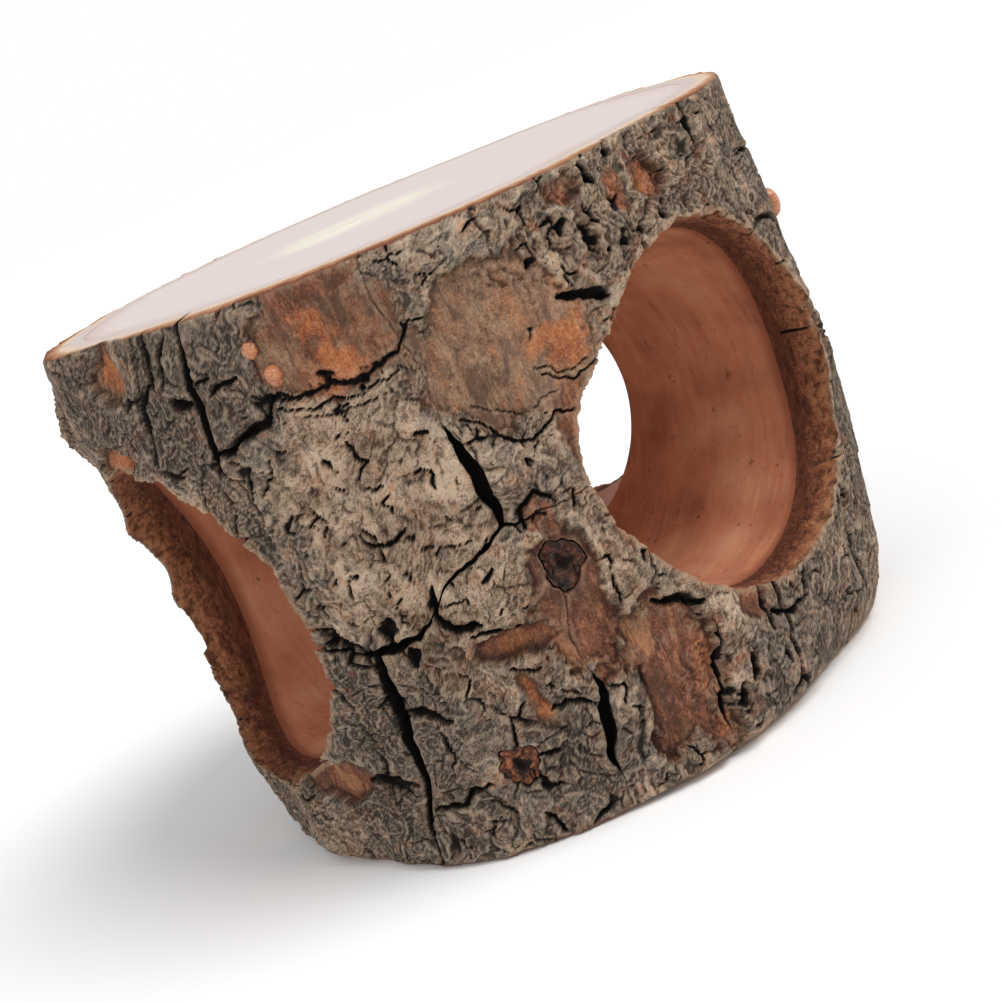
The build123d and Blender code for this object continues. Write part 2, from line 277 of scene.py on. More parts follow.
def noise(turn, height, cell, seed, stretch=1.0, girth=GIRTH):
    """Smooth noise from about -1 to 1 at a share of a turn and a height."""
    columns, column, row, x, y = lattice_place(turn, height, cell, stretch, girth)
    slope = lattice(seed, columns, 1)[:, :, 0] * 2 * pi
    slope_x, slope_y = np.cos(slope), np.sin(slope)
    ease_x = x * x * x * (x * (x * 6 - 15) + 10)
    ease_y = y * y * y * (y * (y * 6 - 15) + 10)
    total = 0.0
    for i in (0, 1):
        for j in (0, 1):
            r, c = (row + j) % LATTICE_ROWS, (column + i) % columns
            weight = (ease_x if i else 1 - ease_x) * (ease_y if j else 1 - ease_y)
            total = total + weight * (slope_x[r, c] * (x - i) + slope_y[r, c] * (y - j))
    return total * 1.5


def rough(turn, height, cell, seed, octaves=4, stretch=1.0, girth=GIRTH, keep=0.5):
    """Noise with finer and finer noise added to it."""
    total, size = 0.0, 1.0
    for octave in range(octaves):
        total = total + size * noise(turn, height, cell / 2 ** octave, seed + 17 * octave, stretch, girth)
        size *= keep
    return total


def cells(turn, height, cell, seed, stretch=1.0, girth=GIRTH):
    """Random cells: how far a point is from its cell's border, and a random number for the cell."""
    columns, column, row, x, y = lattice_place(turn, height, cell, stretch, girth)
    table = lattice(seed, columns, 3)
    spots = []
    for i in (-1, 0, 1):
        for j in (-1, 0, 1):
            spot = table[(row + j) % LATTICE_ROWS, (column + i) % columns]
            spots.append((spot[..., 0] * 0.8 + 0.1 + i - x, spot[..., 1] * 0.8 + 0.1 + j - y, spot[..., 2]))
    near_x, near_y, own = (np.array(part) for part in spots[4])
    nearest = near_x ** 2 + near_y ** 2
    for sx, sy, number in spots:
        closer = sx * sx + sy * sy < nearest
        nearest = np.where(closer, sx * sx + sy * sy, nearest)
        near_x, near_y = np.where(closer, sx, near_x), np.where(closer, sy, near_y)
        own = np.where(closer, number, own)
    border = np.full_like(nearest, 9.0)
    for sx, sy, _ in spots:
        gap_x, gap_y = sx - near_x, sy - near_y
        gap = np.hypot(gap_x, gap_y)
        between = ((sx + near_x) * gap_x + (sy + near_y) * gap_y) / (2 * np.maximum(gap, 1e-6))
        border = np.where(gap > 1e-4, np.minimum(border, between), border)
    return border * cell, own


def mean_radius(height):
    """The curve through the three mean radii."""
    total = 0.0
    for i, (own, radius) in enumerate(MEAN_RADIUS):
        others = [h for j, (h, _) in enumerate(MEAN_RADIUS) if j != i]
        weight = (own - others[0]) * (own - others[1])
        total = total + radius * (height - others[0]) * (height - others[1]) / weight
    return total


def nominal_radius(bearing, height):
    """The radius of the CAD log's outside."""
    place = (np.asarray(bearing, float) + 180.0) / 360.0 * len(OUTLINE_SWELL)
    whole = np.floor(place).astype(int)
    f = place - whole
    p = [OUTLINE_SWELL[(whole + k) % len(OUTLINE_SWELL)] for k in (-1, 0, 1, 2)]
    cubic = 3 * (p[1] - p[2]) + p[3] - p[0]
    square = 2 * p[0] - 5 * p[1] + 4 * p[2] - p[3] + f * cubic
    curve = p[1] + 0.5 * f * (p[2] - p[0] + f * square)
    return mean_radius(np.asarray(height, float)) + curve


def round_to(bearing, centre):
    """How far round the log a point is from a bearing, in millimetres."""
    return ((np.asarray(bearing) - centre + 180.0) % 360.0 - 180.0) / 360.0 * GIRTH


def patch(bearing, height, spot, wobble):
    """How far a point is from the middle of an oval spot, where 1 is its edge, with an uneven edge."""
    b, h, half_width, half_height = spot
    return np.hypot(round_to(bearing, b) / half_width, (height - h) / half_height) + wobble


def form(bearing, height):
    """The bark's own lumps and hollows."""
    total = 0.0
    for b, h, half_width, half_height, rise in BARK_LUMPS + KNOBS:
        across, up = round_to(bearing, b) / half_width, (height - h) / half_height
        total = total + rise * np.exp(-across ** 2 - up ** 2)
    turn = bearing / 360.0
    return total + 0.55 * noise(turn, height, 24.0, 3) + 0.35 * noise(turn, height, 11.0, 4)


def kind(bearing, height, spots, wobble):
    """How far a point belongs to one of the bark's kinds."""
    share = np.zeros_like(height)
    for spot in spots:
        share = np.maximum(share, step(1.25, 0.75, patch(bearing, height, spot, wobble)))
    return share


def bearing_of(points):
    return np.degrees(np.arctan2(points[:, 0], -points[:, 1]))


def along_crack(bearing, height, points):
    """How far points are from a crack's line, and how far along it they lie, from 0 to 1."""
    best = np.full_like(height, 1e3)
    place = np.zeros_like(height)
    spans = len(points) - 1
    for i, ((b0, h0), (b1, h1)) in enumerate(zip(points, points[1:])):
        ax, ay = round_to(bearing, b0), height - h0
        dx, dy = round_to(b1, b0), h1 - h0
        share = np.clip((ax * dx + ay * dy) / (dx * dx + dy * dy), 0.0, 1.0)
        gap = np.hypot(ax - share * dx, ay - share * dy)
        place = np.where(gap < best, (i + share) / spans, place)
        best = np.minimum(best, gap)
    return best, place


def cut_cracks(bearing, height, turn):
    """The depth of the cracks and pits within the plates."""
    warp_b = 360.0 / GIRTH * (0.55 * noise(turn, height, 3.2, 61) + 0.25 * noise(turn, height, 1.1, 62))
    warp_h = 0.55 * noise(turn, height, 3.2, 63) + 0.25 * noise(turn, height, 1.1, 64)
    wide = 1.0 + 0.45 * noise(turn, height, 2.4, 65)
    depth_here = np.zeros_like(height)
    for half_width, depth, points in CRACKS:
        bearings, heights = [b for b, _ in points], [h for _, h in points]
        middle = (min(bearings) + max(bearings)) / 2
        reach = (max(bearings) - min(bearings)) / 720.0 * GIRTH + 5.0
        near = (height > min(heights) - 4) & (height < max(heights) + 4)
        near = near & (np.abs(round_to(bearing, middle)) < reach)
        gap, place = along_crack(bearing[near] + warp_b[near], height[near] + warp_h[near], points)
        half = half_width * wide[near] * (0.35 + 0.65 * np.sin(np.clip(place, 0.03, 0.97) * pi) ** 0.5)
        depth_here[near] = np.maximum(depth_here[near], depth * step(1.5, 0.35, gap / half))
    for b, h, radius, depth in PITS:
        near = (np.abs(round_to(bearing, b)) < 3 * radius) & (np.abs(height - h) < 3 * radius)
        across, up = round_to(bearing[near] + 2 * warp_b[near], b), height[near] + 2 * warp_h[near] - h
        gap = np.hypot(across, up) / radius + 0.7 * noise(turn[near], height[near], 1.4, 66)
        gap = gap + 0.4 * noise(turn[near], height[near], 0.8, 67)
        depth_here[near] = np.maximum(depth_here[near], 0.8 * depth * step(1.15, 0.2, gap))
    return depth_here


def relief(bearing, height):
    """The bark's face: how far it stands off the nominal outline, and what its places look like."""
    turn = bearing / 360.0
    warp = 1.0 / GIRTH
    turn_w = turn + warp * (1.7 * rough(turn, height, 9.0, 11, 3) + 0.3 * noise(turn, height, 1.4, 12))
    height_w = height + 1.7 * rough(turn, height, 9.0, 13, 3) + 0.3 * noise(turn, height, 1.4, 14)
    wobble = 0.32 * noise(turn, height, 5.5, 15) + 0.18 * noise(turn, height, 1.9, 16)
    wobble = wobble + 0.08 * noise(turn, height, 0.8, 17)

    flat = kind(bearing, height, FLAT_PLATES, wobble)
    curled = kind(bearing, height, CURLED_SCALES, wobble) * (1 - flat)
    chunky = kind(bearing, height, CHUNKY_CRUST, wobble) * (1 - 0.7 * flat)

    # Plates with stepped cracks between them
    border, plate = cells(turn_w, height_w, 8.5, 21, 1.45)
    opened = step(-0.05, 0.35, noise(turn, height, 13.0, 22) + 0.08 * flat - 0.12)
    width = 0.17 + 0.16 * noise(turn, height, 4.0, 23)
    plate_cracks = opened * step(1.0, 0.2, border / np.maximum(width, 0.05) * 0.5) * (0.5 + 1.3 * flat)
    fine_border, chip = cells(turn_w, height_w, 3.4, 24, 1.2)
    fine_open = step(0.0, 0.3, noise(turn, height, 6.0, 25))
    fine_cracks = fine_open * step(0.20, 0.04, fine_border) * 0.35
    short_border, _ = cells(turn_w, height_w, 4.6, 26, 0.8)
    short_open = step(0.16, 0.36, noise(turn, height, 3.2, 27)) * (1 - 0.6 * flat)
    short_cracks = short_open * step(0.26, 0.08, short_border)

    # Scales that lie over one another in thin layers with broken edges
    layers = rough(turn_w, height_w, 15.0, 31, 5, 1.15) * 4.2
    level = np.floor(layers)
    rise = layers - level
    edge = step(0.0, 0.10, rise)
    small_layers = rough(turn_w, height_w, 4.6, 33, 4) * 3.4
    small_level = np.floor(small_layers)
    small_rise = small_layers - small_level
    small_edge = step(0.0, 0.14, small_rise)

    # Crust and grain
    ridge = 1 - 2 * np.abs(noise(turn_w, height_w, 3.0, 41))
    lump = rough(turn, height, 2.1, 42, 3)
    grain = rough(turn, height, 0.9, 43, 2)
    fibre = noise(turn_w, height, 0.7, 44, 7.0)
    seam, grit = cells(turn_w, height_w, 1.5, 45)
    granule = (step(0.0, 0.35, seam) - 0.6) * (0.5 + grit)

    calm = 1 - 0.9 * flat
    offset = (level + edge) * mix(0.22, 0.05, flat) + (plate - 0.5) * (0.30 + 0.45 * flat)
    offset = offset + calm * (small_level + small_edge) * (0.03 + 0.11 * curled + 0.08 * chunky)
    detail = calm * ((chip - 0.5) * (0.10 + 0.18 * chunky) + ridge * 0.42 * chunky)
    detail = detail + calm * lump * (0.04 + 0.26 * chunky + 0.02 * curled)
    detail = detail + calm * granule * (0.02 + 0.18 * chunky + 0.03 * curled) + grain * (0.05 - 0.02 * flat)
    offset = offset + detail + fibre * 0.012

    orange, rust, bare = np.zeros_like(height), np.zeros_like(height), np.zeros_like(height)
    sheets = 2.6 * rough(turn_w, height, 5.5, 54, 4, 1.6)
    sheet_rise = sheets - np.floor(sheets)
    streak = 0.08 * fibre + 0.50 * noise(turn, height, 4.5, 52) + 0.25 * noise(turn, height, 1.3, 53, 1.5)
    for b, h, half_width, half_height, depth, how_orange, how_rust in BARE:
        away = patch(bearing, height, (b, h, half_width, half_height), wobble * (0.7 + 2.4 / half_width))
        soft = 0.03 + 0.3 / half_width
        here = step(1.0 + soft, 1.0 - soft, away)
        hollow = -depth * (0.75 + 0.25 * here) + 0.30 * noise(turn, height, 6.0, 51) + 0.02 * fibre
        hollow = hollow + detail * (0.3 + 0.7 * chunky) + 0.03 * grain
        hollow = hollow + 0.10 * (np.floor(sheets) + step(0.0, 0.2, sheet_rise))
        offset = mix(offset, hollow, here)
        orange = np.maximum(orange, here * how_orange * step(1.0, 0.35, away + 0.45 * streak))
        rust = np.maximum(rust, here * how_rust * step(1.25, 0.75, away + streak))
        bare = np.maximum(bare, here)

    left_bare = 1 - bare
    # Darker, less tan bark on the log's sides, turned away from bearing -38 near the camera: painted shade
    side_shade = step(22.0, 45.0, np.abs(round_to(bearing, -38.0)))
    depth = np.maximum(plate_cracks + fine_cracks, short_cracks) * left_bare
    depth = np.maximum(depth, cut_cracks(bearing, height, turn))
    # Dark lines at the foot of each scale's step and of the sheets in bare patches: painted shade
    ledge_shade = (step(0.16, 0.02, rise) * 0.6 + step(0.2, 0.02, small_rise) * (0.2 + 0.5 * curled)) * left_bare
    ledge_shade = ledge_shade + 0.8 * bare * step(0.22, 0.02, sheet_rise) * step(-0.3, 0.3, noise(turn, height, 4.0, 55))
    # Pale rims along the tops of the scales' steps: partly pale broken edges, partly painted highlight
    lip = step(0.10, 0.16, rise) * step(0.34, 0.18, rise)
    lip = (lip + 0.6 * step(0.14, 0.2, small_rise) * step(0.5, 0.3, small_rise)) * left_bare
    tone = 0.5 + 0.30 * (plate - 0.5) + 0.34 * (chip - 0.5) + 0.25 * (grit - 0.5)
    tone = tone + 0.22 * noise(turn, height, 7.0, 71) + 0.08 * (level % 3 - 1)
    tone = tone - 0.28 * flat - 0.12 * chunky - 0.17 * side_shade
    tan = 0.44 - 0.10 * side_shade + 0.50 * curled - 0.46 * flat
    tan = tan + 0.30 * noise(turn, height, 9.0, 72) + 0.22 * noise(turn, height, 2.5, 73) + 0.25 * lip
    rusty = step(0.28, 0.62, noise(turn, height, 3.6, 74) + 0.35 * noise(turn, height, 1.1, 75))
    rust = rust + 0.8 * rusty * (0.35 + 0.95 * chunky) * left_bare
    looks = {
        "tone": np.clip(tone, 0, 1),
        "tan": np.clip(tan, 0, 1),
        # Depth of the cracks and pits, and the ledges, which the bark material paints near-black: painted
        # shade
        "pit": np.clip(depth / 1.1 + 0.30 * ledge_shade, 0, 1),
        "bare": bare,
        "orange": np.clip(orange, 0, 1),
        "rust": np.clip(rust, 0, 1),
        "lip": np.clip(lip, 0, 1),
    }
    return form(bearing, height) + offset - depth, looks


# The bores

def door_axes(door):
    """A doorway's outward and sideways directions and the point where its axis passes the pith."""
    bearing, offset, height = DOORS[door]
    outward = np.array([sin(radians(bearing)), -cos(radians(bearing)), 0.0])
    sideways = np.array([cos(radians(bearing)), sin(radians(bearing)), 0.0])
    return outward, sideways, sideways * offset + np.array([0.0, 0.0, height])


def in_door(points, door):
    """Each point as a turn round the bore's axis, a distance from it and a distance along it."""
    outward, sideways, start = door_axes(door)
    away = points - start
    across, up = away @ sideways, away[:, 2]
    return np.arctan2(up, across) / (2 * pi) % 1.0, np.hypot(across, up), away @ outward


def depth_in_bark(points):
    """How far points lie under the log's nominal outside."""
    bearing = bearing_of(points)
    return nominal_radius(bearing, points[:, 2]) - np.hypot(points[:, 0], points[:, 1])


def bore_wall(turn, along, depth, door, radius):
    """The bore's own radius: fine tool marks in the wood, and torn fibres and chips in the bark."""
    seed = 200 + 20 * sorted(DOORS).index(door)
    girth = 2 * pi * radius
    marks = 0.035 * noise(turn, along, 14.0, seed, 0.05, girth)
    marks = marks + 0.02 * noise(turn, along, 5.0, seed + 1, 0.06, girth)
    marks = marks + 0.10 * noise(turn, along, 22.0, seed + 2, 0.4, girth)
    torn = step(BARK + 0.6, BARK - 0.8, depth)
    loose = step(BARK - 1.0, 0.0, depth)
    fray = 0.22 * rough(turn, along, 1.5, seed + 3, 3, 1.0, girth)
    fray = fray + 0.12 * noise(turn, along, 0.7, seed + 4, 0.6, girth)
    chips = np.maximum(0.0, rough(turn, along, 6.0, seed + 5, 4, 1.0, girth)) * 1.1
    return radius + marks + torn * (fray + 0.15) + loose * (0.25 + chips)


def wall_gap(points, door, radius):
    """How far points are from a bore's wall, and how far along the bore they lie."""
    turn, away, along = in_door(points, door)
    outward, _, origin = door_axes(door)
    middle = origin + along[:, None] * outward
    on_bore = middle + (points - middle) * (radius / np.maximum(away, 1.0))[:, None]
    return np.abs(away - bore_wall(turn, along, depth_in_bark(on_bore), door, radius)), along


# Meshes

def place(mesh, points):
    """Moves a mesh's vertices to points in millimetres."""
    mesh.vertices.foreach_set("co", (points * MM).ravel())
    mesh.update()


def points_of(mesh, scale=1.0):
    """A mesh's vertices, as rows of numbers."""
    flat = np.empty(len(mesh.vertices) * 3)
    mesh.vertices.foreach_get("co", flat)
    return flat.reshape(-1, 3) / scale


def new_object(name, bm):
    """The object that a bmesh makes, linked to the scene."""
    mesh = bpy.data.meshes.new(name)
    bm.to_mesh(mesh)
    bm.free()
    thing = bpy.data.objects.new(name, mesh)
    bpy.context.scene.collection.objects.link(thing)
    return thing


def unit_block(columns, rows, cuts, wall_rows):
    """A closed block that fills the unit cube, finely cut on its top and walls and coarsely beneath."""
    bm = bmesh.new()
    bmesh.ops.create_grid(bm, x_segments=columns, y_segments=rows, size=0.5)
    bmesh.ops.translate(bm, verts=bm.verts[:], vec=(0.5, 0.5, 1.0))
    lowered = bmesh.ops.extrude_face_region(bm, geom=bm.faces[:], use_keep_orig=True)["geom"]
    bmesh.ops.translate(bm, verts=[v for v in lowered if isinstance(v, bmesh.types.BMVert)], vec=(0, 0, -1))
    for k in range(1, wall_rows):
        everything = bm.verts[:] + bm.edges[:] + bm.faces[:]
        bmesh.ops.bisect_plane(bm, geom=everything, plane_co=(0, 0, k / wall_rows), plane_no=(0, 0, 1))
    bmesh.ops.recalc_face_normals(bm, faces=bm.faces[:])

    def inside(vert):
        return 1e-4 < vert.co.x < 1 - 1e-4 and 1e-4 < vert.co.y < 1 - 1e-4

    beneath = {e for e in bm.edges if all(v.co.z < 1e-4 for v in e.verts) and any(inside(v) for v in e.verts)}
    fine = [e for e in bm.edges if e not in beneath]
    bmesh.ops.subdivide_edges(bm, edges=fine, cuts=cuts, use_grid_fill=True)
    return bm


def lathe(profile, steps, closed=False):
    """The closed solid that a profile of radius and height sweeps round the upright axis."""
    bm = bmesh.new()
    verts = [bm.verts.new((radius, 0.0, height)) for radius, height in profile]
    pairs = list(zip(verts, verts[1:])) + ([(verts[-1], verts[0])] if closed else [])
    edges = [bm.edges.new(pair) for pair in pairs]
    bmesh.ops.spin(
        bm, geom=verts + edges, cent=(0, 0, 0), axis=(0, 0, 1), angle=2 * pi, steps=steps, use_merge=True)
    bmesh.ops.remove_doubles(bm, verts=bm.verts[:], dist=1e-4)
    bmesh.ops.recalc_face_normals(bm, faces=bm.faces[:])
    return bm


def evenly(start, end, spacing):
    """Numbers from start up to end, not counting end, about this far apart."""
    count = max(1, round(abs(end - start) / spacing))
    return [start + (end - start) * k / count for k in range(count)]


def bore_cutter(door, radius, start, end, spacing, steps):
    """The solid that a doorway takes away between two distances from the pith."""
    wall_rings = [(radius, along) for along in evenly(start, end, spacing)]
    profile = [(0.0, start), *wall_rings, (radius, end), (0.0, end)]
    cutter = new_object(f"bore_{door}", lathe(profile, steps))
    local = points_of(cutter.data)
    turn = np.arctan2(local[:, 1], local[:, 0]) / (2 * pi) % 1.0
    outward, sideways, origin = door_axes(door)

    def at(distance):
        across = sideways * (distance * np.cos(turn * 2 * pi))[:, None]
        up = np.array([0, 0, 1.0]) * (distance * np.sin(turn * 2 * pi))[:, None]
        return origin + across + up + outward * local[:, 2:3]

    reach = np.hypot(local[:, 0], local[:, 1])
    wall = bore_wall(turn, local[:, 2], depth_in_bark(at(reach)), door, radius)
    place(cutter.data, at(np.where(reach > radius / 2, wall, 0.0)))
    return cutter


def carve(thing, cutters):
    """Cuts solids out of an object for good."""
    for cutter in cutters:
        cut = thing.modifiers.new("cut", "BOOLEAN")
        cut.operation = "DIFFERENCE"
        cut.solver = "MANIFOLD"
        cut.object = cutter
    solved = thing.evaluated_get(bpy.context.evaluated_depsgraph_get())
    carved = bpy.data.meshes.new_from_object(solved)
    thing.modifiers.clear()
    old = thing.data
    thing.data = carved
    carved.name = thing.name
    if cutters and len(carved.vertices) in (0, len(old.vertices)):
        raise RuntimeError(f"the cuts did not work on {thing.name}")
    bpy.data.meshes.remove(old)


def discard(things):
    for thing in things:
        bpy.data.meshes.remove(thing.data)


def paint(mesh, name, values):
    """Keeps a number for each vertex, for the materials to read."""
    mesh.attributes.new(name, "FLOAT", "POINT").data.foreach_set("value", values.astype(np.float32))


def hollows(mesh, rounds):
    """How far each vertex lies below its surroundings, in millimetres. Ridges are below zero."""
    points = points_of(mesh, MM)
    pairs = np.empty(len(mesh.edges) * 2, dtype=np.int64)
    mesh.edges.foreach_get("vertices", pairs)
    start, end = pairs.reshape(-1, 2).T
    count = np.bincount(pairs, minlength=len(points))
    smooth = points.copy()
    for _ in range(rounds):
        for axis in range(3):
            total = np.bincount(start, smooth[end, axis], len(points))
            total = total + np.bincount(end, smooth[start, axis], len(points))
            smooth[:, axis] = total / np.maximum(count, 1)
    normals = np.empty(len(mesh.vertices) * 3)
    mesh.vertex_normals.foreach_get("vector", normals)
    return np.sum((smooth - points) * normals.reshape(-1, 3), axis=1)


def finish_piece(thing, node, material, crease=50.0):
    """Gives a piece its material and ties it to the CAD model."""
    thing.data.materials.clear()
    thing.data.materials.append(material)
    thing.data.shade_smooth()
    thing.data.set_sharp_from_angle(angle=radians(crease))
    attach(thing, "root")
    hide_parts(node)


def upright(bearing, radius, height):
    """Points from bearings, radii and heights."""
    turn = np.radians(bearing)
    return np.stack([radius * np.sin(turn), -radius * np.cos(turn), height + 0 * turn], axis=-1)


# The bark plates

def from_crack_start(bearing):
    """The same bearing, counted on from where the crack's list starts."""
    first, _ = CRACK[0]
    return (np.asarray(bearing) - first) % 360.0 + first


def crack_height(bearing):
    """The height of the crack's middle."""
    line = np.interp(from_crack_start(bearing), [b for b, _ in CRACK], [h for _, h in CRACK])
    turn = np.asarray(bearing) / 360.0
    return MIDDLE + line + 0.7 * noise(turn, 0 * turn, 5.0, 81) + 0.3 * noise(turn, 0 * turn, 1.5, 82)


def crack_gape(bearing):
    gape = np.interp(from_crack_start(bearing), [b for b, _ in CRACK_GAPES], [g for _, g in CRACK_GAPES])
    return HAIRLINE + gape


def fissure_bearing(plate, end_height, height):
    """The bearing of the fissure on a plate's left."""
    _, at_end, at_crack, _ = plate
    crack = crack_height(np.array(float(at_crack)))
    share = np.clip((height - end_height) / (crack - end_height), 0.0, 1.0)
    swing = FISSURE_WANDER * np.interp(share, [0, 0.2, 0.4, 0.6, 0.8, 1], [0, -1, 1, -1, 1, 0])
    turn = 0 * height + at_end / 360.0
    jog = 0.55 * noise(turn, height, 4.0, 83) + 0.22 * noise(turn, height, 1.3, 84)
    return at_end + (at_crack - at_end) * share + swing + jog


def fissure_gape(plate, height):
    gapes = plate[3]
    return HAIRLINE + np.interp(height, [h for h, _ in gapes], [g for _, g in gapes], left=0.0, right=0.0)


def worn_edge(bearing, low_end):
    """How far the outer edge is chipped off at an end of the log."""
    turn = bearing / 360.0
    chips = 0.22 + 0.30 * np.maximum(0, noise(turn, 0 * turn, 4.0, 91 + low_end))
    chips = chips + 0.12 * noise(turn, 0 * turn, 1.2, 93)
    if low_end:
        turned = (bearing + 180.0) % 360.0 - 180.0
        chips = chips + np.interp(turned, [b for b, _ in WORN_FOOT], [w for _, w in WORN_FOOT])
    return chips


def plate_points(share, plate, after, low_end):
    """Where a unit block's points go to make one plate of bark, between its fissure and the next."""
    u, v, w = share.T
    end_height = 0.0 if low_end else LOG_HEIGHT
    height = mix(end_height, MIDDLE, 0.5) + 0 * u
    for _ in range(5):
        left = fissure_bearing(plate, end_height, height)
        right = fissure_bearing(after, end_height, height)
        right = left + (right - left) % 360.0
        left_gape, right_gape = fissure_gape(plate, height), fissure_gape(after, height)
        per_mm = 360.0 / (2 * pi * FISSURE_RADIUS)
        bearing = mix(left + left_gape * per_mm, right - right_gape * per_mm, u)
        worn = worn_edge(bearing, low_end) * w ** 2
        crack, gape = crack_height(bearing), crack_gape(bearing)
        low = worn if low_end else crack + gape
        high = crack - gape if low_end else LOG_HEIGHT - worn
        height = mix(low, high, v)
    offset, _ = relief(bearing, height)
    wide = (right - left) / per_mm
    sides = [(u * wide, left_gape), ((1 - u) * wide, right_gape)]
    crack_side = (1 - v) if low_end else v
    sides.append((crack_side * (high - low), gape))
    for gap, open_by in sides:
        offset = offset - (0.03 + 0.6 * open_by) * np.exp(-gap / (0.12 + 0.5 * open_by))
    end_side = (v if low_end else 1 - v) * (high - low)
    offset = offset - 0.35 * np.exp(-end_side / 0.5)
    skin = np.maximum(offset, THINNEST_BARK - OUTER_BARK)
    nominal = nominal_radius(bearing, height)
    radius = nominal - OUTER_BARK + w * (OUTER_BARK + skin)
    return upright(bearing, radius, height)


def paint_bark(mesh, radius):
    """Keeps the bark's looks on its vertices: its tones, cracks, bare patches and cut faces, and the hollows,
    ridges and crack walls for painted shade and highlight.
    """
    points = points_of(mesh, MM)
    bearing = bearing_of(points)
    offset, looks = relief(bearing, points[:, 2])
    skin = nominal_radius(bearing, points[:, 2]) + np.maximum(offset, THINNEST_BARK - OUTER_BARK)
    under = skin - np.hypot(points[:, 0], points[:, 1])
    depth = depth_in_bark(points)
    bored, brink = np.zeros(len(points)), np.zeros(len(points))
    for door in DOORS:
        gap, along = wall_gap(points, door, radius)
        brink = np.maximum(brink, step(1.3, 0.3, gap) * (along > OWN_SIDE) * step(0.5, 0.15, under))
        bored = np.maximum(bored, step(0.6, 0.3, gap) * (along > OWN_SIDE) * step(0.15, 0.5, under))
    worn = worn_edge(bearing, 0), worn_edge(bearing, 1)
    share = np.clip((OUTER_BARK - depth) / OUTER_BARK, 0, 1) ** 2
    foot = step(0.22, 0.05, points[:, 2] - worn[1] * share) * step(0.9, 0.5, points[:, 2])
    sawn = np.maximum(step(0.22, 0.05, LOG_HEIGHT - worn[0] * share - points[:, 2]), foot)
    worn_face = step(2.2, 1.4, np.abs(points[:, 2] - worn[1] * share)) * step(0.2, 0.7, worn[1] * share)
    # Faces lying under the bark's face, the walls of cracks, fissures and steps, also painted crack-dark:
    # painted shade
    wall = step(0.35, 1.3, under) * (1 - bored) * (1 - sawn) * (1 - worn_face)
    looks["pit"] = np.maximum(looks["pit"] * (1 - bored) * (1 - sawn), wall)
    for name, values in looks.items():
        paint(mesh, name, values)
    paint(mesh, "bored", bored)
    paint(mesh, "brink", brink)
    paint(mesh, "sawn", sawn * (1 - bored))
    paint(mesh, "depth", np.clip(depth, -3.0, BARK + 3.0))
    # How far each vertex lies below or above its surroundings, which the bark material turns into painted
    # shade in hollows and painted highlight on ridges
    low = 0.30 * hollows(mesh, 2) / 0.05 + 0.6 * hollows(mesh, 12) / 0.18
    low = np.where(low < -1.8, 0.5, low)
    paint(mesh, "hollow", np.clip(low, -1, 1) * (1 - sawn))


# Shader nodes

class Tree:
    """A material's or a group's nodes, with short ways to add more."""

    def __init__(self, tree):
        self.nodes, self.links = tree.nodes, tree.links

    def value_of(self, name):
        """A node that reads a number kept on the vertices."""
        node = self.nodes.new("ShaderNodeAttribute")
        node.attribute_name = name
        return node.outputs["Fac"]

    def object_place(self):
        """A place on the object, in its own coordinates."""
        return self.nodes.new("ShaderNodeTexCoord").outputs["Object"]

    def set_or_link(self, socket, given):
        """Gives a socket a number or a colour, or links it."""
        if isinstance(given, (int, float)):
            socket.default_value = given
        elif isinstance(given, bpy.types.NodeSocket):
            self.links.new(given, socket)
        else:
            socket.default_value = (*tuple(given)[:3], 1.0)

    def math(self, operation, a, b):
        node = self.nodes.new("ShaderNodeMath")
        node.operation = operation
        for socket, given in zip(node.inputs, (a, b)):
            self.set_or_link(socket, given)
        return node.outputs[0]

    def blend(self, share, a, b):
        """A colour between a and b."""
        node = self.nodes.new("ShaderNodeMix")
        node.data_type = "RGBA"
        for name, given in (("Factor_Float", share), ("A_Color", a), ("B_Color", b)):
            self.set_or_link(next(s for s in node.inputs if s.identifier == name), given)
        return next(s for s in node.outputs if s.identifier == "Result_Color")

    def speckle(self, place, scale, detail=4.0, roughness=0.6, stretch=(1, 1, 1), distortion=0.0):
        """Fine noise over the object, from 0 to 1, at a scale per metre."""
        mapping = self.nodes.new("ShaderNodeMapping")
        mapping.inputs["Scale"].default_value = stretch
        self.links.new(place, mapping.inputs["Vector"])
        node = self.nodes.new("ShaderNodeTexNoise")
        node.inputs["Scale"].default_value = scale
        node.inputs["Detail"].default_value = detail
        node.inputs["Roughness"].default_value = roughness
        node.inputs["Distortion"].default_value = distortion
        self.links.new(mapping.outputs["Vector"], node.inputs["Vector"])
        return node.outputs["Fac"]

    def ramp(self, value, stops):
        """Maps a number to the colours at its stops."""
        node = self.nodes.new("ShaderNodeValToRGB")
        self.links.new(value, node.inputs["Fac"])
        elements = node.color_ramp.elements
        elements.remove(elements[1])
        for k, (where, colour) in enumerate(stops):
            element = elements[0] if k == 0 else elements.new(where)
            element.position = where
            element.color = (*tuple(colour)[:3], 1.0)
        return node.outputs["Color"]

    def spread(self, value, low, high):
        """Stretches the part of a number between low and high to 0 to 1."""
        node = self.nodes.new("ShaderNodeMapRange")
        node.inputs["From Min"].default_value = low
        node.inputs["From Max"].default_value = high
        self.links.new(value, node.inputs["Value"])
        return node.outputs["Result"]

    def bump(self, height, strength, distance):
        node = self.nodes.new("ShaderNodeBump")
        node.inputs["Strength"].default_value = strength
        node.inputs["Distance"].default_value = distance
        self.links.new(height, node.inputs["Height"])
        return node.outputs["Normal"]


def new_material(name):
    """A new material, its tree and its main shader."""
    material = bpy.data.materials.new(name)
    material.use_nodes = True
    return material, Tree(material.node_tree), material.node_tree.nodes["Principled BSDF"]


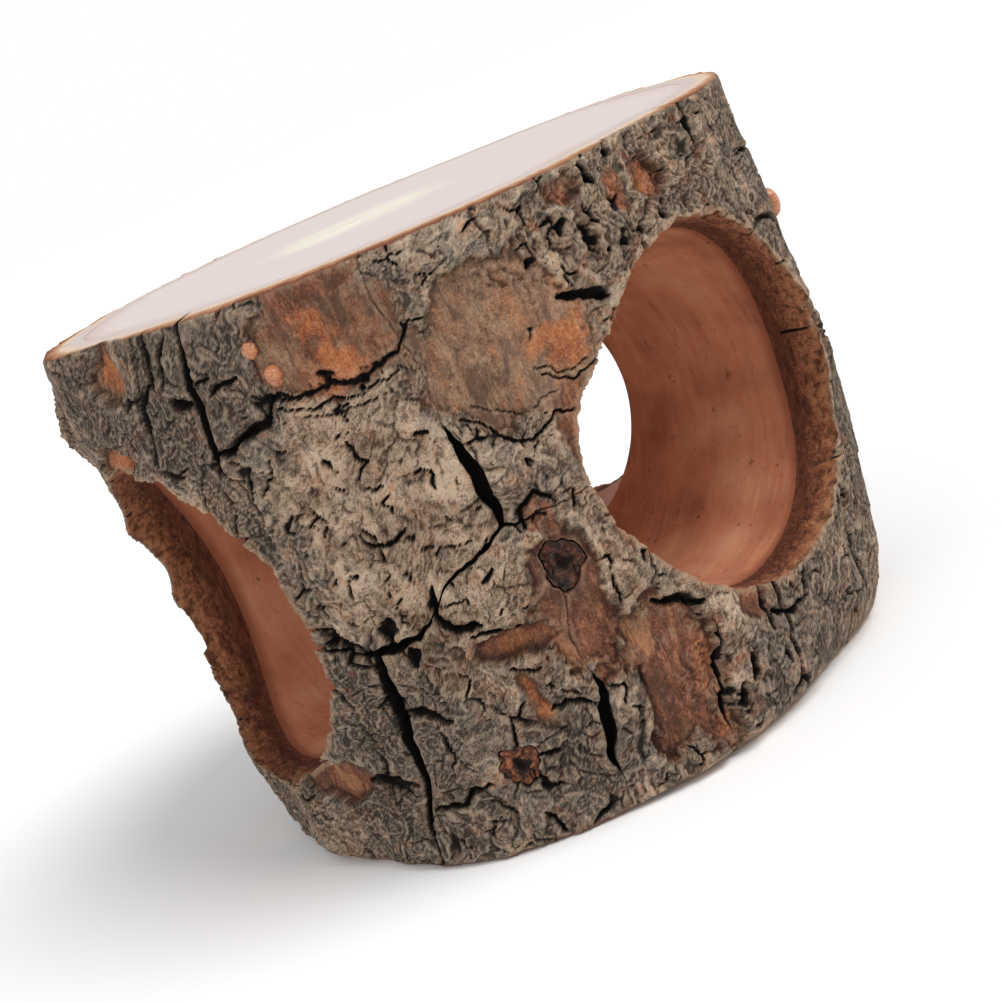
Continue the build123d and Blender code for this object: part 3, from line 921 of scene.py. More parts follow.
def crumb_group():
    """A group for the fine broken surface that bark, bast and knots share: a tint and a height."""
    if "Crumbs" in bpy.data.node_groups:
        return bpy.data.node_groups["Crumbs"]
    group = bpy.data.node_groups.new("Crumbs", "ShaderNodeTree")
    tree = Tree(group)
    for name, default in (("Size", 1.0), ("Fibre", 0.5)):
        socket = group.interface.new_socket(name, in_out="INPUT", socket_type="NodeSocketFloat")
        socket.default_value = default
    group.interface.new_socket("Vector", in_out="INPUT", socket_type="NodeSocketVector")
    for name in ("Tint", "Speck", "Height"):
        group.interface.new_socket(name, in_out="OUTPUT", socket_type="NodeSocketFloat")
    given, made = tree.nodes.new("NodeGroupInput"), tree.nodes.new("NodeGroupOutput")
    scaled = tree.nodes.new("ShaderNodeVectorMath")
    scaled.operation = "SCALE"
    tree.links.new(given.outputs["Vector"], scaled.inputs[0])
    tree.links.new(given.outputs["Size"], scaled.inputs["Scale"])
    place = scaled.outputs[0]
    broad = tree.speckle(place, 420, 6, 0.75)
    fine = tree.speckle(place, 3600, 3, 0.9)
    streak = tree.speckle(place, 1700, 4, 0.7, (1, 1, 0.12), 0.3)
    crumbs = tree.blend(given.outputs["Fibre"], fine, streak)
    both = tree.math("ADD", tree.math("MULTIPLY", broad, 0.35), tree.math("MULTIPLY", crumbs, 0.65))
    tree.links.new(tree.spread(both, 0.39, 0.61), made.inputs["Tint"])
    tree.links.new(tree.spread(fine, 0.62, 0.72), made.inputs["Speck"])
    tree.links.new(both, made.inputs["Height"])
    return group


def crumbs(tree, place, size=1.0, fibre=0.5):
    """The Crumbs group, placed in a material."""
    node = tree.nodes.new("ShaderNodeGroup")
    node.node_tree = crumb_group()
    node.inputs["Size"].default_value = size
    node.inputs["Fibre"].default_value = fibre
    tree.links.new(place, node.inputs["Vector"])
    return node.outputs["Tint"], node.outputs["Speck"], node.outputs["Height"]


def bark_material(look):
    """Dry outer bark: grey plates, tan scales, bare orange and rust patches, cracks and hollows in painted
    shade, and painted highlight on ridges and scale rims.
    """
    material, tree, shader = new_material("outer bark")
    place = tree.object_place()
    tint, speck, height = crumbs(tree, place, 1.0, 0.2)
    fibre_tint, _, _ = crumbs(tree, place, 0.9, 0.35)
    drift = tree.speckle(place, 150, 5, 0.65)

    tone = tree.math("MULTIPLY", tree.math("SUBTRACT", tint, 0.5), 1.2)
    tone = tree.math("ADD", tree.value_of("tone"), tone)
    grey = tree.ramp(tone, [(0.12, look.dark_plate), (0.5, look.grey_plate), (0.9, look.pale_plate)])
    scale_share = tree.math("MULTIPLY", tree.math("SUBTRACT", drift, 0.5), 1.5)
    scale_share = tree.math("ADD", tree.value_of("tan"), scale_share)
    tan = tree.ramp(tone, [(0.15, look.brown_scale), (0.5, look.tan_scale), (0.9, look.pale_scale)])
    colour = tree.blend(tree.spread(scale_share, 0.28, 0.72), grey, tan)
    lichen = tree.math("MULTIPLY", tree.spread(tree.speckle(place, 190, 6, 0.75), 0.55, 0.66), 0.4)
    colour = tree.blend(lichen, colour, look.lichen)
    stain = tree.ramp(tone, [(0.1, look.rust_dark), (0.5, look.stain), (0.95, look.orange_pale)])
    reddish = tree.math("MULTIPLY", tree.spread(tree.speckle(place, 310, 6, 0.75), 0.51, 0.62), 0.55)
    colour = tree.blend(reddish, colour, stain)

    mottle = tree.speckle(place, 420, 5, 0.7, (1, 1, 0.35), 0.6)
    under = tree.ramp(fibre_tint, [(0.1, look.bare_dark), (0.5, look.bare), (0.9, look.bare_pale)])
    under = tree.blend(tree.math("MULTIPLY", tree.spread(mottle, 0.52, 0.60), 0.8), under, stain)
    under = tree.blend(tree.math("MULTIPLY", tree.spread(mottle, 0.47, 0.39), 0.8), under, look.bare_dark)
    rust = tree.ramp(fibre_tint, [(0.1, look.rust_dark), (0.5, look.rust), (0.95, look.rust_pale)])
    bands = tree.speckle(place, 230, 6, 0.75, (1, 1, 0.3), 0.8)
    rust = tree.blend(tree.math("MULTIPLY", tree.spread(bands, 0.56, 0.62), 0.75), rust, look.tan_streak)
    rust = tree.blend(tree.math("MULTIPLY", tree.spread(bands, 0.50, 0.42), 0.85), rust, look.rust_dark)
    rust = tree.blend(tree.math("MULTIPLY", tree.spread(mottle, 0.47, 0.38), 0.8), rust, look.rust_dark)
    orange = tree.ramp(fibre_tint, [(0.05, look.rust), (0.5, look.orange), (0.95, look.orange_pale)])
    uneven = tree.math("MULTIPLY", tree.math("SUBTRACT", tint, 0.5), 0.8)
    for name, over in (("bare", under), ("rust", rust), ("orange", orange)):
        share = tree.spread(tree.math("ADD", tree.value_of(name), uneven), 0.15, 0.85)
        colour = tree.blend(tree.math("MULTIPLY", share, 0.85), colour, over)

    low = tree.value_of("hollow")
    # Ridges of the bark's face lighter, towards the palest scale colour: painted highlight
    ridge = tree.spread(tree.math("MULTIPLY", low, -1.0), 0.15, 1.0)
    colour = tree.blend(tree.math("MULTIPLY", ridge, 0.16), colour, look.pale_scale)
    # Pale scale rims: partly pale broken edges, partly painted highlight
    lip = tree.math("MULTIPLY", tree.value_of("lip"), 0.4)
    colour = tree.blend(lip, colour, look.pale_scale)
    brink = tree.spread(tree.math("ADD", tree.value_of("brink"), uneven), 0.3, 1.0)
    brink = tree.math("MULTIPLY", brink, 0.5)
    colour = tree.blend(brink, colour, look.brink)
    # Hollows of the bark's face darker, towards the crack colour: painted shade
    hollow_shade = tree.math("MULTIPLY", tree.spread(low, 0.15, 1.0), 0.6)
    colour = tree.blend(hollow_shade, colour, look.crevice)
    colour = tree.blend(tree.math("MULTIPLY", speck, 0.35), colour, look.crevice)

    depth = tree.value_of("depth")
    broken = tree.speckle(place, 500, 5, 0.7)
    ragged = tree.math("ADD", depth, tree.math("MULTIPLY", tree.math("SUBTRACT", broken, 0.5), 3.0))
    ring = tree.math("DIVIDE", ragged, BARK)
    section = tree.ramp(ring, [
        (0.0, look.section), (0.12, look.section_pale), (0.28, look.sawn_bark), (0.45, look.sawn_bast),
        (0.9, look.end_ring)])
    section = tree.blend(tree.math("MULTIPLY", tree.spread(tint, 0.6, 1.0), 0.35), section, look.section_pale)
    colour = tree.blend(tree.value_of("sawn"), colour, section)
    outward = tree.math("SUBTRACT", fibre_tint, tree.math("MULTIPLY", tree.math("SUBTRACT", ring, 0.35), 0.9))
    torn = tree.ramp(outward, [(0.0, look.rust_dark), (0.45, look.section), (0.9, look.section_pale)])
    # Hollows of the torn bark in the bores darker: painted shade
    torn = tree.blend(tree.math("MULTIPLY", tree.spread(low, 0.1, 1.0), 0.6), torn, look.crevice)
    colour = tree.blend(tree.value_of("bored"), colour, torn)
    # Cracks, pits, ledges and crack walls painted near-black: painted shade
    ragged_pit = tree.math("ADD", tree.value_of("pit"), tree.math("MULTIPLY", uneven, 0.5))
    colour = tree.blend(tree.spread(ragged_pit, 0.22, 0.62), colour, look.crevice)
    tree.links.new(colour, shader.inputs["Base Color"])
    shader.inputs["Roughness"].default_value = 0.9
    tree.links.new(tree.bump(height, 0.4, 0.00022), shader.inputs["Normal"])
    shader.inputs["Specular IOR Level"].default_value = 0.2
    return material


def inner_bark_material(look):
    """Dark red-brown fibrous bast."""
    material, tree, shader = new_material("inner bark")
    place = tree.object_place()
    tint, _, height = crumbs(tree, place, 1.2, 0.8)
    bored = tree.ramp(tint, [(0.0, look.rust_dark), (0.5, look.bored_rim), (1.0, look.section)])
    sawn = tree.ramp(tint, [(0.0, look.sawn_bast), (0.35, look.end_ring), (0.8, look.end_grain)])
    # Bast that the outer plates cover, seen only down fissures and cracks, painted crack-dark: painted shade
    bored = tree.blend(tree.value_of("hidden"), bored, look.crevice)
    colour = tree.blend(tree.value_of("sawn"), bored, sawn)
    tree.links.new(colour, shader.inputs["Base Color"])
    tree.links.new(tree.bump(height, 0.8, 0.0005), shader.inputs["Normal"])
    shader.inputs["Roughness"].default_value = 0.9
    shader.inputs["Specular IOR Level"].default_value = 0.15
    return material


def wood_material(look):
    """The wood: pale sawn ends with a yellow heart, and red-brown walls in the bores."""
    material, tree, shader = new_material("log wood")
    place = tree.object_place()
    fleck = tree.speckle(place, 700, 4, 0.6)
    cloud = tree.speckle(place, 55, 4, 0.55)

    rings = tree.nodes.new("ShaderNodeTexWave")
    rings.wave_type = "RINGS"
    rings.rings_direction = "Z"
    rings.inputs["Scale"].default_value = 170.0
    rings.inputs["Distortion"].default_value = 1.6
    rings.inputs["Detail"].default_value = 2.0
    rings.inputs["Detail Scale"].default_value = 0.6
    tree.links.new(place, rings.inputs["Vector"])
    end = tree.blend(tree.math("MULTIPLY", rings.outputs["Fac"], 0.35), look.end_grain, look.end_ring)
    heart = tree.math("MULTIPLY", tree.value_of("heart"), tree.spread(cloud, 0.25, 0.6))
    end = tree.blend(heart, end, look.heartwood)
    end = tree.blend(tree.math("MULTIPLY", tree.spread(fleck, 0.66, 0.74), 0.35), end, look.end_speck)
    rim = tree.math("MULTIPLY", tree.value_of("rim"), tree.spread(cloud, 0.3, 0.65))
    end = tree.blend(rim, end, look.end_rim)

    cloud_wall = tree.speckle(place, 70, 4, 0.6)
    wall = tree.ramp(cloud_wall, [(0.30, look.bored_dark), (0.5, look.bored), (0.72, look.bored_light)])
    marks = tree.spread(tree.value_of("marks"), -1.0, 1.0)
    wall = tree.blend(tree.math("MULTIPLY", marks, 0.35), wall, look.bored_light)
    wall = tree.blend(tree.value_of("charred"), wall, look.bored_dark)
    specks = tree.spread(tree.speckle(place, 520, 3, 0.7, (1, 1, 0.6)), 0.63, 0.72)
    wall = tree.blend(tree.math("MULTIPLY", specks, 0.55), wall, look.rust_dark)
    colour = tree.blend(tree.value_of("bored"), end, wall)
    tree.links.new(colour, shader.inputs["Base Color"])
    shader.inputs["Roughness"].default_value = 0.72
    shader.inputs["Specular IOR Level"].default_value = 0.25
    tree.links.new(tree.bump(fleck, 0.25, 0.0002), shader.inputs["Normal"])
    return material


def knot_material(look):
    """Dead branch wood, dark and crumbling, with orange crumbs of resin."""
    material, tree, shader = new_material("dead knot")
    place = tree.object_place()
    tint, _, height = crumbs(tree, place, 1.6, 0.2)
    dark = tree.ramp(tint, [(0.35, look.crevice), (0.6, look.rust_dark), (0.72, look.rust)])
    crumb = tree.math("MULTIPLY", tree.value_of("crumb"), tree.spread(tint, 0.35, 0.6))
    tree.links.new(tree.blend(crumb, dark, look.orange), shader.inputs["Base Color"])
    tree.links.new(tree.bump(height, 0.8, 0.0004), shader.inputs["Normal"])
    shader.inputs["Roughness"].default_value = 0.8
    return material


def resin_material(look):
    """Hard amber resin with dust on it."""
    material, tree, shader = new_material("resin")
    place = tree.object_place()
    tint, _, height = crumbs(tree, place, 1.0, 0.0)
    colour = tree.ramp(tint, [(0.0, look.rust), (0.4, look.orange), (0.8, look.orange_pale)])
    tree.links.new(colour, shader.inputs["Base Color"])
    tree.links.new(tree.bump(height, 0.3, 0.0003), shader.inputs["Normal"])
    shader.inputs["Roughness"].default_value = 0.35
    shader.inputs["Coat Weight"].default_value = 0.3
    return material


# Settings that a user would change

def tone_of(red, green, blue):
    """A colour written in screen values from 0 to 255, as Blender keeps it."""
    shares = [c / 255 for c in (red, green, blue)]
    return tuple(c / 12.92 if c <= 0.04 else ((c + 0.055) / 1.055) ** 2.4 for c in shares)


def colour_setting(name, description, red, green, blue):
    return FloatVectorProperty(
        name=name, description=description, subtype="COLOR", size=3, min=0, max=1,
        default=tone_of(red, green, blue))


class LogSizes(PropertyGroup):
    """Sizes of the log's own details."""
    spacing: FloatProperty(
        name="Bark mesh", description="Distance between the bark's vertices", default=0.00027, unit="LENGTH",
        precision=5)
    doorway: FloatProperty(
        name="Doorway", description="Radius of the three doorways", default=0.025, unit="LENGTH", precision=4)
    wood_steps: IntProperty(
        name="Wood steps", description="Steps round the wood and round each bore", default=260, min=24)


class LogColours(PropertyGroup):
    """Colours of the bark, the wood and the resin."""
    dark_plate: colour_setting("Dark plate", "Darkest grey of the flat bark plates", 46, 41, 36)
    grey_plate: colour_setting("Grey plate", "Usual grey of the bark plates", 86, 77, 68)
    pale_plate: colour_setting("Pale plate", "Palest grey of the bark plates", 142, 129, 114)
    brown_scale: colour_setting("Brown scale", "Darkest of the tan scales", 84, 66, 52)
    tan_scale: colour_setting("Tan scale", "Usual colour of the tan scales", 134, 113, 93)
    # The palest scale colour also serves as painted highlight on ridges and scale rims
    pale_scale: colour_setting("Pale scale", "Palest of the tan scales and broken edges", 196, 174, 150)
    lichen: colour_setting("Lichen", "Grey-green film on the bark", 104, 99, 88)
    orange: colour_setting("Orange", "Fresh bark under a lost scale", 168, 98, 60)
    orange_pale: colour_setting("Pale orange", "Palest of the fresh bark", 196, 134, 88)
    rust: colour_setting("Rust", "Older bare bark", 111, 63, 46)
    rust_dark: colour_setting("Dark rust", "Darkest of the bare bark", 64, 38, 30)
    rust_pale: colour_setting("Pale rust", "Palest of the older bare bark", 148, 96, 70)
    tan_streak: colour_setting("Tan streak", "Pale streaks in the older bare bark", 168, 118, 82)
    # The crack colour also serves as painted shade in cracks, pits, hollows and covered bast
    crevice: colour_setting("Crevice", "Dark of the cracks", 24, 20, 18)
    section: colour_setting("Section", "Bark's layers where it is cut through", 116, 68, 46)
    section_pale: colour_setting("Pale section", "Palest of the bark's layers", 156, 106, 74)
    sawn_bark: colour_setting("Sawn bark", "Bark on the sawn ends", 176, 136, 104)
    sawn_bast: colour_setting("Sawn bast", "Inner bark on the sawn ends", 214, 190, 168)
    stain: colour_setting("Stain", "Brown stains on the bark", 132, 90, 64)
    brink: colour_setting("Doorway edge", "Pale broken edge of the bark round the doorways", 170, 138, 110)
    bare: colour_setting("Bare bark", "Brown bark that has lost its scales", 134, 102, 80)
    bare_dark: colour_setting("Dark bare bark", "Darkest of the bark that has lost its scales", 88, 64, 52)
    bare_pale: colour_setting("Pale bare bark", "Palest of the bark that has lost its scales", 168, 136, 108)
    end_grain: colour_setting("End grain", "Sawn ends of the wood", 210, 198, 196)
    end_ring: colour_setting("Growth ring", "Growth rings on the sawn ends", 200, 185, 180)
    end_rim: colour_setting("Sawn rim", "Wood next to the bark on the sawn ends", 182, 150, 132)
    end_speck: colour_setting("End speck", "Specks on the sawn ends", 172, 146, 130)
    heartwood: colour_setting("Heartwood", "Yellow heart of the sawn ends", 226, 220, 203)
    bored_rim: colour_setting("Bored bark", "Inner bark where a bore goes through it", 92, 52, 37)
    bored: colour_setting("Bored wood", "Usual colour of the bores' walls", 187, 119, 86)
    bored_dark: colour_setting("Dark bored wood", "Darkest of the bores' walls", 136, 78, 54)
    bored_light: colour_setting("Light bored wood", "Lightest of the bores' walls", 210, 156, 120)


class LogStage(PropertyGroup):
    """The light and the floor."""
    floor: colour_setting("Floor", "Colour of the floor", 250, 250, 250)
    sky: FloatProperty(name="Sky", description="Strength of the light from all round", default=0.57, min=0)
    key: FloatProperty(name="Key light", description="Strength of the light from above", default=2.05, min=0)
    fill: FloatProperty(
        name="Fill light", description="Strength of the light from the camera's side", default=0.55, min=0)


# Operators

def spacing(context):
    """The distance between the bark's vertices, in millimetres."""
    given = context.scene.log_sizes.spacing / MM
    return given


class LOG_OT_wood_core(Operator):
    """Makes the peeled log with its three bores"""
    bl_idname = "log_hideout.wood_core"
    bl_label = "Wood core"

    def execute(self, context):
        sizes, look = context.scene.log_sizes, context.scene.log_colours
        radius, steps = sizes.doorway / MM, sizes.wood_steps
        rings = 46
        profile = [(k / rings, 0.0) for k in range(0, rings, 2)]
        profile += [(1.0, height) for height in evenly(0.0, LOG_HEIGHT, 4.0)]
        profile += [(k / rings, LOG_HEIGHT) for k in range(rings, -1, -1)]
        core = new_object("wood_core_looks", lathe(profile, steps))
        share = points_of(core.data)
        bearing = bearing_of(share)
        edge = nominal_radius(bearing, share[:, 2]) - BARK
        inward = np.where(share[:, 2] > MIDDLE, -1, 1)
        sawn = share[:, 2] + inward * 0.04 * (1 + noise(share[:, 0], share[:, 1] * 50, 3.0, 101))
        place(core.data, upright(bearing, np.hypot(share[:, 0], share[:, 1]) * edge, sawn))
        cutters = [bore_cutter(door, radius, -BORED_PAST_PITH, BORE_END, 0.38, steps) for door in DOORS]
        carve(core, cutters)
        discard(cutters)

        points = points_of(core.data, MM)
        depth = depth_in_bark(points)
        bored, marks, charred = (np.zeros(len(points)) for _ in range(3))
        for door in DOORS:
            turn, away, along = in_door(points, door)
            inside = step(0.5, 0.1, np.abs(away - radius)) * (along > -BORED_PAST_PITH - 0.1)
            bored = np.maximum(bored, inside)
            line = noise(turn, along, 16.0, 301, 0.035, 2 * pi * radius)
            line = line + 0.6 * noise(turn, along, 9.0, 302, 0.02, 2 * pi * radius)
            marks = np.where(inside > 0.5, line, marks)
            dark = step(0.1, 0.9, noise(turn, along, 18.0, 303, 0.5, 2 * pi * radius) + 0.3 * line)
            charred = np.where(inside > 0.5, np.maximum(dark * 0.6, step(BARK + 2.2, BARK, depth)), charred)
        from_end = np.minimum(points[:, 2], LOG_HEIGHT - points[:, 2])
        ends = step(0.3, 0.15, from_end)
        paint(core.data, "bored", bored * (1 - ends))
        paint(core.data, "marks", marks)
        paint(core.data, "charred", charred)
        out = np.hypot(points[:, 0] + 4.0, points[:, 1] * 1.2 - 2.0)
        drift = noise(points[:, 0] / GIRTH, points[:, 1], 9.0, 304)
        paint(core.data, "heart", step(20.0, 7.0, out + 3.0 * drift))
        drift = noise(bearing_of(points) / 360.0, 0 * depth, 14.0, 305)
        rim = 0.45 * step(BARK + 6.0, BARK, depth + 1.5 * drift) + 0.4 * step(BARK + 1.0, BARK + 0.1, depth)
        paint(core.data, "rim", rim)
        finish_piece(core, "wood_core", wood_material(look), 40)
        return {"FINISHED"}


class LOG_OT_inner_bark(Operator):
    """Makes the sleeve of bast between the wood and the plates"""
    bl_idname = "log_hideout.inner_bark"
    bl_label = "Inner bark"

    def execute(self, context):
        sizes, look = context.scene.log_sizes, context.scene.log_colours
        radius = sizes.doorway / MM
        heights = evenly(0.0, LOG_HEIGHT, 1.2)
        across = evenly(0.0, 1.0, 0.25)
        profile = [(10 + k, 0.0) for k in across] + [(11.0, h) for h in heights]
        profile += [(11.0 - k, LOG_HEIGHT) for k in across] + [(10.0, LOG_HEIGHT - h) for h in heights]
        sleeve = new_object("inner_bark_looks", lathe(profile, 400, closed=True))
        share = points_of(sleeve.data)
        bearing = bearing_of(share)
        out = np.hypot(share[:, 0], share[:, 1]) - 10.0
        fray = 0.12 * noise(bearing / 360.0, share[:, 2], 1.6, 111, 3.0) * out
        reach = nominal_radius(bearing, share[:, 2]) - BARK + INNER_BARK * out + fray
        place(sleeve.data, upright(bearing, reach, share[:, 2]))
        cutters = [bore_cutter(door, radius, BARK_BORE_START, BORE_END, 0.3, 320) for door in DOORS]
        carve(sleeve, cutters)
        discard(cutters)
        points = points_of(sleeve.data, MM)
        from_end = np.minimum(points[:, 2], LOG_HEIGHT - points[:, 2])
        paint(sleeve.data, "sawn", step(0.3, 0.1, from_end))
        # Where the outer plates cover the bast, for its painted shade
        covered = step(INNER_BARK - 0.5, INNER_BARK - 0.2, BARK - depth_in_bark(points))
        for door in DOORS:
            _, away, along = in_door(points, door)
            covered = np.where(along > OWN_SIDE, covered * step(radius + 0.3, radius + 1.0, away), covered)
        paint(sleeve.data, "hidden", covered)
        finish_piece(sleeve, "inner_bark", inner_bark_material(look))
        return {"FINISHED"}


class LOG_OT_bark_plates(Operator):
    """Makes the plates of outer bark between the fissures, the crack and the doorways"""
    bl_idname = "log_hideout.bark_plates"
    bl_label = "Bark plates"

    def execute(self, context):
        look = context.scene.log_colours
        radius = context.scene.log_sizes.doorway / MM
        fine = spacing(context)
        cuts, wall_rows = 4, 2
        material = bark_material(look)
        along = max(fine, FINEST_BORE)
        cutters = {door: bore_cutter(door, radius, BARK_BORE_START, BORE_END, along, 420) for door in DOORS}
        knots = [knot_socket(*knot) for knot in KNOTS]
        for low_end, plates in ((False, UPPER_PLATES), (True, LOWER_PLATES)):
            for plate, after in zip(plates, plates[1:] + plates[:1]):
                wide = ((after[1] - plate[1]) % 360) / 360 * GIRTH
                columns, rows = round(wide / fine / (cuts + 1)), round(MIDDLE / fine / (cuts + 1))
                piece = new_object(f"{plate[0]}_looks", unit_block(columns, rows, cuts, wall_rows))
                points = plate_points(points_of(piece.data), plate, after, low_end)
                place(piece.data, points)
                touching = []
                for door, cutter in cutters.items():
                    _, away, out = in_door(points, door)
                    if np.any((away < radius + 2) & (out > 30)):
                        touching.append(cutter)
                touching += [socket for socket, node in knots if node_near(points, node)]
                carve(piece, touching)
                paint_bark(piece.data, radius)
                finish_piece(piece, plate[0], material)
        discard(list(cutters.values()) + [socket for socket, _ in knots])
        return {"FINISHED"}


def knot_frame(bearing, height):
    """The place of a knot's face and its outward direction."""
    offset, _ = relief(np.array([bearing]), np.array([height]))
    radius = float(nominal_radius(bearing, height) + np.clip(offset[0], -0.8, 1.2))
    outward = Vector((sin(radians(bearing)), -cos(radians(bearing)), 0.0))
    return radius, outward


def turned_out(bm, bearing, height, radius):
    """Turns a shape on the upright axis to point outwards at a bearing, with its origin at a radius."""
    turn = Matrix.Rotation(radians(bearing), 4, "Z") @ Matrix.Rotation(radians(90), 4, "X")
    bmesh.ops.transform(bm, matrix=turn, verts=bm.verts[:])
    spot = upright(bearing, radius, height)
    bmesh.ops.translate(bm, verts=bm.verts[:], vec=Vector(spot.tolist()))
    bmesh.ops.scale(bm, vec=(MM, MM, MM), verts=bm.verts[:])


def make_ragged(bm, radius):
    """Makes a knot or its socket less round near the bark's face."""
    local = np.array([v.co[:] for v in bm.verts])
    turn = np.arctan2(local[:, 1], local[:, 0]) / (2 * pi) % 1.0
    near_face = step(-3.5, -1.0, local[:, 2])
    girth = 2 * pi * radius
    ragged = 0.60 * noise(turn, 0 * turn, 3.6, 411, 1.0, girth)
    ragged = ragged + 0.20 * noise(turn, 0 * turn, 1.2, 412, 1.0, girth)
    uneven = 1 + near_face * ragged
    for vert, share in zip(bm.verts, uneven):
        vert.co.x *= share
        vert.co.y *= share


def knot_socket(node, bearing, height, radius):
    """The hole that a knot takes out of the bark."""
    face, _ = knot_frame(bearing, height)
    flare = [(radius * (1.0 + 0.03 * k), 0.5 * k - 3.0) for k in range(8)]
    profile = [(0.0, -SOCKET_DEPTH), (radius, -SOCKET_DEPTH), *flare, (radius * 1.35, 4.0), (0.0, 4.0)]
    bm = lathe(profile, 90)
    make_ragged(bm, radius)
    turned_out(bm, bearing, height, face)
    return new_object(f"socket_{node}", bm), (bearing, height)


def node_near(points, spot):
    """Whether a plate reaches to a knot."""
    bearing = bearing_of(points)
    beside = np.abs(round_to(bearing, spot[0])) < KNOT_REACH
    level = np.abs(points[:, 2] - spot[1]) < KNOT_REACH
    return bool(np.any(beside & level))


class LOG_OT_knots(Operator):
    """Makes the two dead knots, each a sunk stub with a crumbling face"""
    bl_idname = "log_hideout.knots"
    bl_label = "Dead knots"

    def execute(self, context):
        material = knot_material(context.scene.log_colours)
        for node, bearing, height, radius in KNOTS:
            face, _ = knot_frame(bearing, height)
            rings = 30
            profile = [(0.0, -KNOT_DEPTH), (radius * 0.94, -KNOT_DEPTH)]
            profile += [(radius * 0.97, -3.0), (radius * 1.04, -1.2)]
            profile += [(radius * 1.06 * k / rings, -0.7) for k in range(rings, -1, -1)]
            bm = lathe(profile, 120)
            shape_knot_face(bm, radius)
            make_ragged(bm, radius)
            turned_out(bm, bearing, height, face)
            knot = new_object(f"{node}_looks", bm)
            points = points_of(knot.data, MM)
            out = np.hypot(points[:, 0], points[:, 1]) - face
            paint(knot.data, "crumb", step(-1.0, -0.2, out) * (1.0 if node == "knot_low" else 0.15))
            finish_piece(knot, node, material)
        return {"FINISHED"}


def shape_knot_face(bm, radius):
    """Sinks a knot's middle, raises crumbs round it and roughens it."""
    face = [v for v in bm.verts if v.co.z > -1.0]
    flat = np.array([v.co[:] for v in face])
    out = np.hypot(flat[:, 0], flat[:, 1]) / radius
    across = flat[:, 0] / 40 + 0.5
    bend = 0.5 * noise(across, flat[:, 1], 1.6, 403, 1.0, 40.0)
    seam, grit = cells(across + bend / 40, flat[:, 1] - bend, 1.2, 401, 1.0, 40.0)
    crumb = step(0.0, 0.45, seam) * (0.2 + grit)
    rise = -1.7 * step(0.60, 0.05, out + 0.5 * bend) + 0.7 * crumb * step(0.2, 0.6, out)
    rise = rise + 0.35 * rough(across, flat[:, 1], 1.2, 402, 3, 1.0, 40.0)
    for vert, lift in zip(face, rise):
        vert.co.z += lift


class LOG_OT_resin_beads(Operator):
    """Makes the three beads of dried resin"""
    bl_idname = "log_hideout.resin_beads"
    bl_label = "Resin beads"

    def execute(self, context):
        bm = bmesh.new()
        for k, (bearing, height, wide, tall) in enumerate(BEADS):
            offset, _ = relief(np.array([float(bearing)]), np.array([height]))
            radius = float(nominal_radius(bearing, height) + offset[0])
            drop = bmesh.new()
            bmesh.ops.create_icosphere(drop, subdivisions=5, radius=1.0)
            shape = np.array([v.co[:] for v in drop.verts])
            turn = np.arctan2(shape[:, 1], shape[:, 0]) / (2 * pi) % 1.0
            lumps = 1 + 0.10 * noise(turn, shape[:, 2], 0.9, 501 + k, 1.0, 6.0)
            lumps = lumps + 0.05 * noise(turn, shape[:, 2], 0.35, 504 + k, 1.0, 6.0)
            for vert, swell in zip(drop.verts, lumps):
                dome = Vector((vert.co.x * wide / 2, vert.co.y * tall / 2, vert.co.z * wide * 0.45))
                vert.co = dome * swell
            turned_out(drop, bearing, height, radius + 0.2)
            made = bpy.data.meshes.new("drop")
            drop.to_mesh(made)
            drop.free()
            bm.from_mesh(made)
            bpy.data.meshes.remove(made)
        beads = new_object("resin_beads_looks", bm)
        finish_piece(beads, "resin_beads", resin_material(context.scene.log_colours), 80)
        return {"FINISHED"}


# The photo's camera: where it stands, how it is turned, and its lens and film
CAMERA_BEARING = -45.0
CAMERA_DISTANCE = 302.0
CAMERA_HEIGHT = 103.4
CAMERA_YAW = 0.12
CAMERA_DOWN = 12.85
CAMERA_ROLL = -23.0
CAMERA_LENS = 71.8
FILM_WIDTH = 36.0


class LOG_OT_stage(Operator):
    """Sets up the camera, the lights and the floor"""
    bl_idname = "log_hideout.stage"
    bl_label = "Stage"

    def execute(self, context):
        stage = context.scene.log_stage
        camera = bpy.data.objects.new("camera", bpy.data.cameras.new("camera"))
        context.scene.collection.objects.link(camera)
        camera.data.lens = CAMERA_LENS
        camera.data.sensor_width = FILM_WIDTH
        camera.data.clip_start = 0.01
        stand = Matrix.Translation((0, -CAMERA_DISTANCE * MM, CAMERA_HEIGHT * MM))
        look = Matrix.Rotation(radians(CAMERA_YAW), 4, "Z")
        look = look @ Matrix.Rotation(radians(90 - CAMERA_DOWN), 4, "X")
        look = look @ Matrix.Rotation(radians(CAMERA_ROLL), 4, "Z")
        camera.matrix_world = Matrix.Rotation(radians(CAMERA_BEARING), 4, "Z") @ stand @ look
        context.scene.camera = camera
        context.scene.view_settings.view_transform = "Standard"
        add_lights(stage)
        add_floor(stage)
        add_sky(stage)
        return {"FINISHED"}


def add_lights(stage):
    """A broad soft light from above and a weak one from the camera's side."""
    lamps = [("key", stage.key, 36, 20, 34), ("fill", stage.fill, 50, -80, 62)]
    for name, strength, width, bearing, lean in lamps:
        lamp = bpy.data.lights.new(name, "SUN")
        lamp.energy = strength
        lamp.angle = radians(width)
        light = bpy.data.objects.new(name, lamp)
        around, tilt = Matrix.Rotation(radians(bearing), 4, "Z"), Matrix.Rotation(radians(lean), 4, "X")
        light.matrix_world = around @ tilt
        bpy.context.scene.collection.objects.link(light)


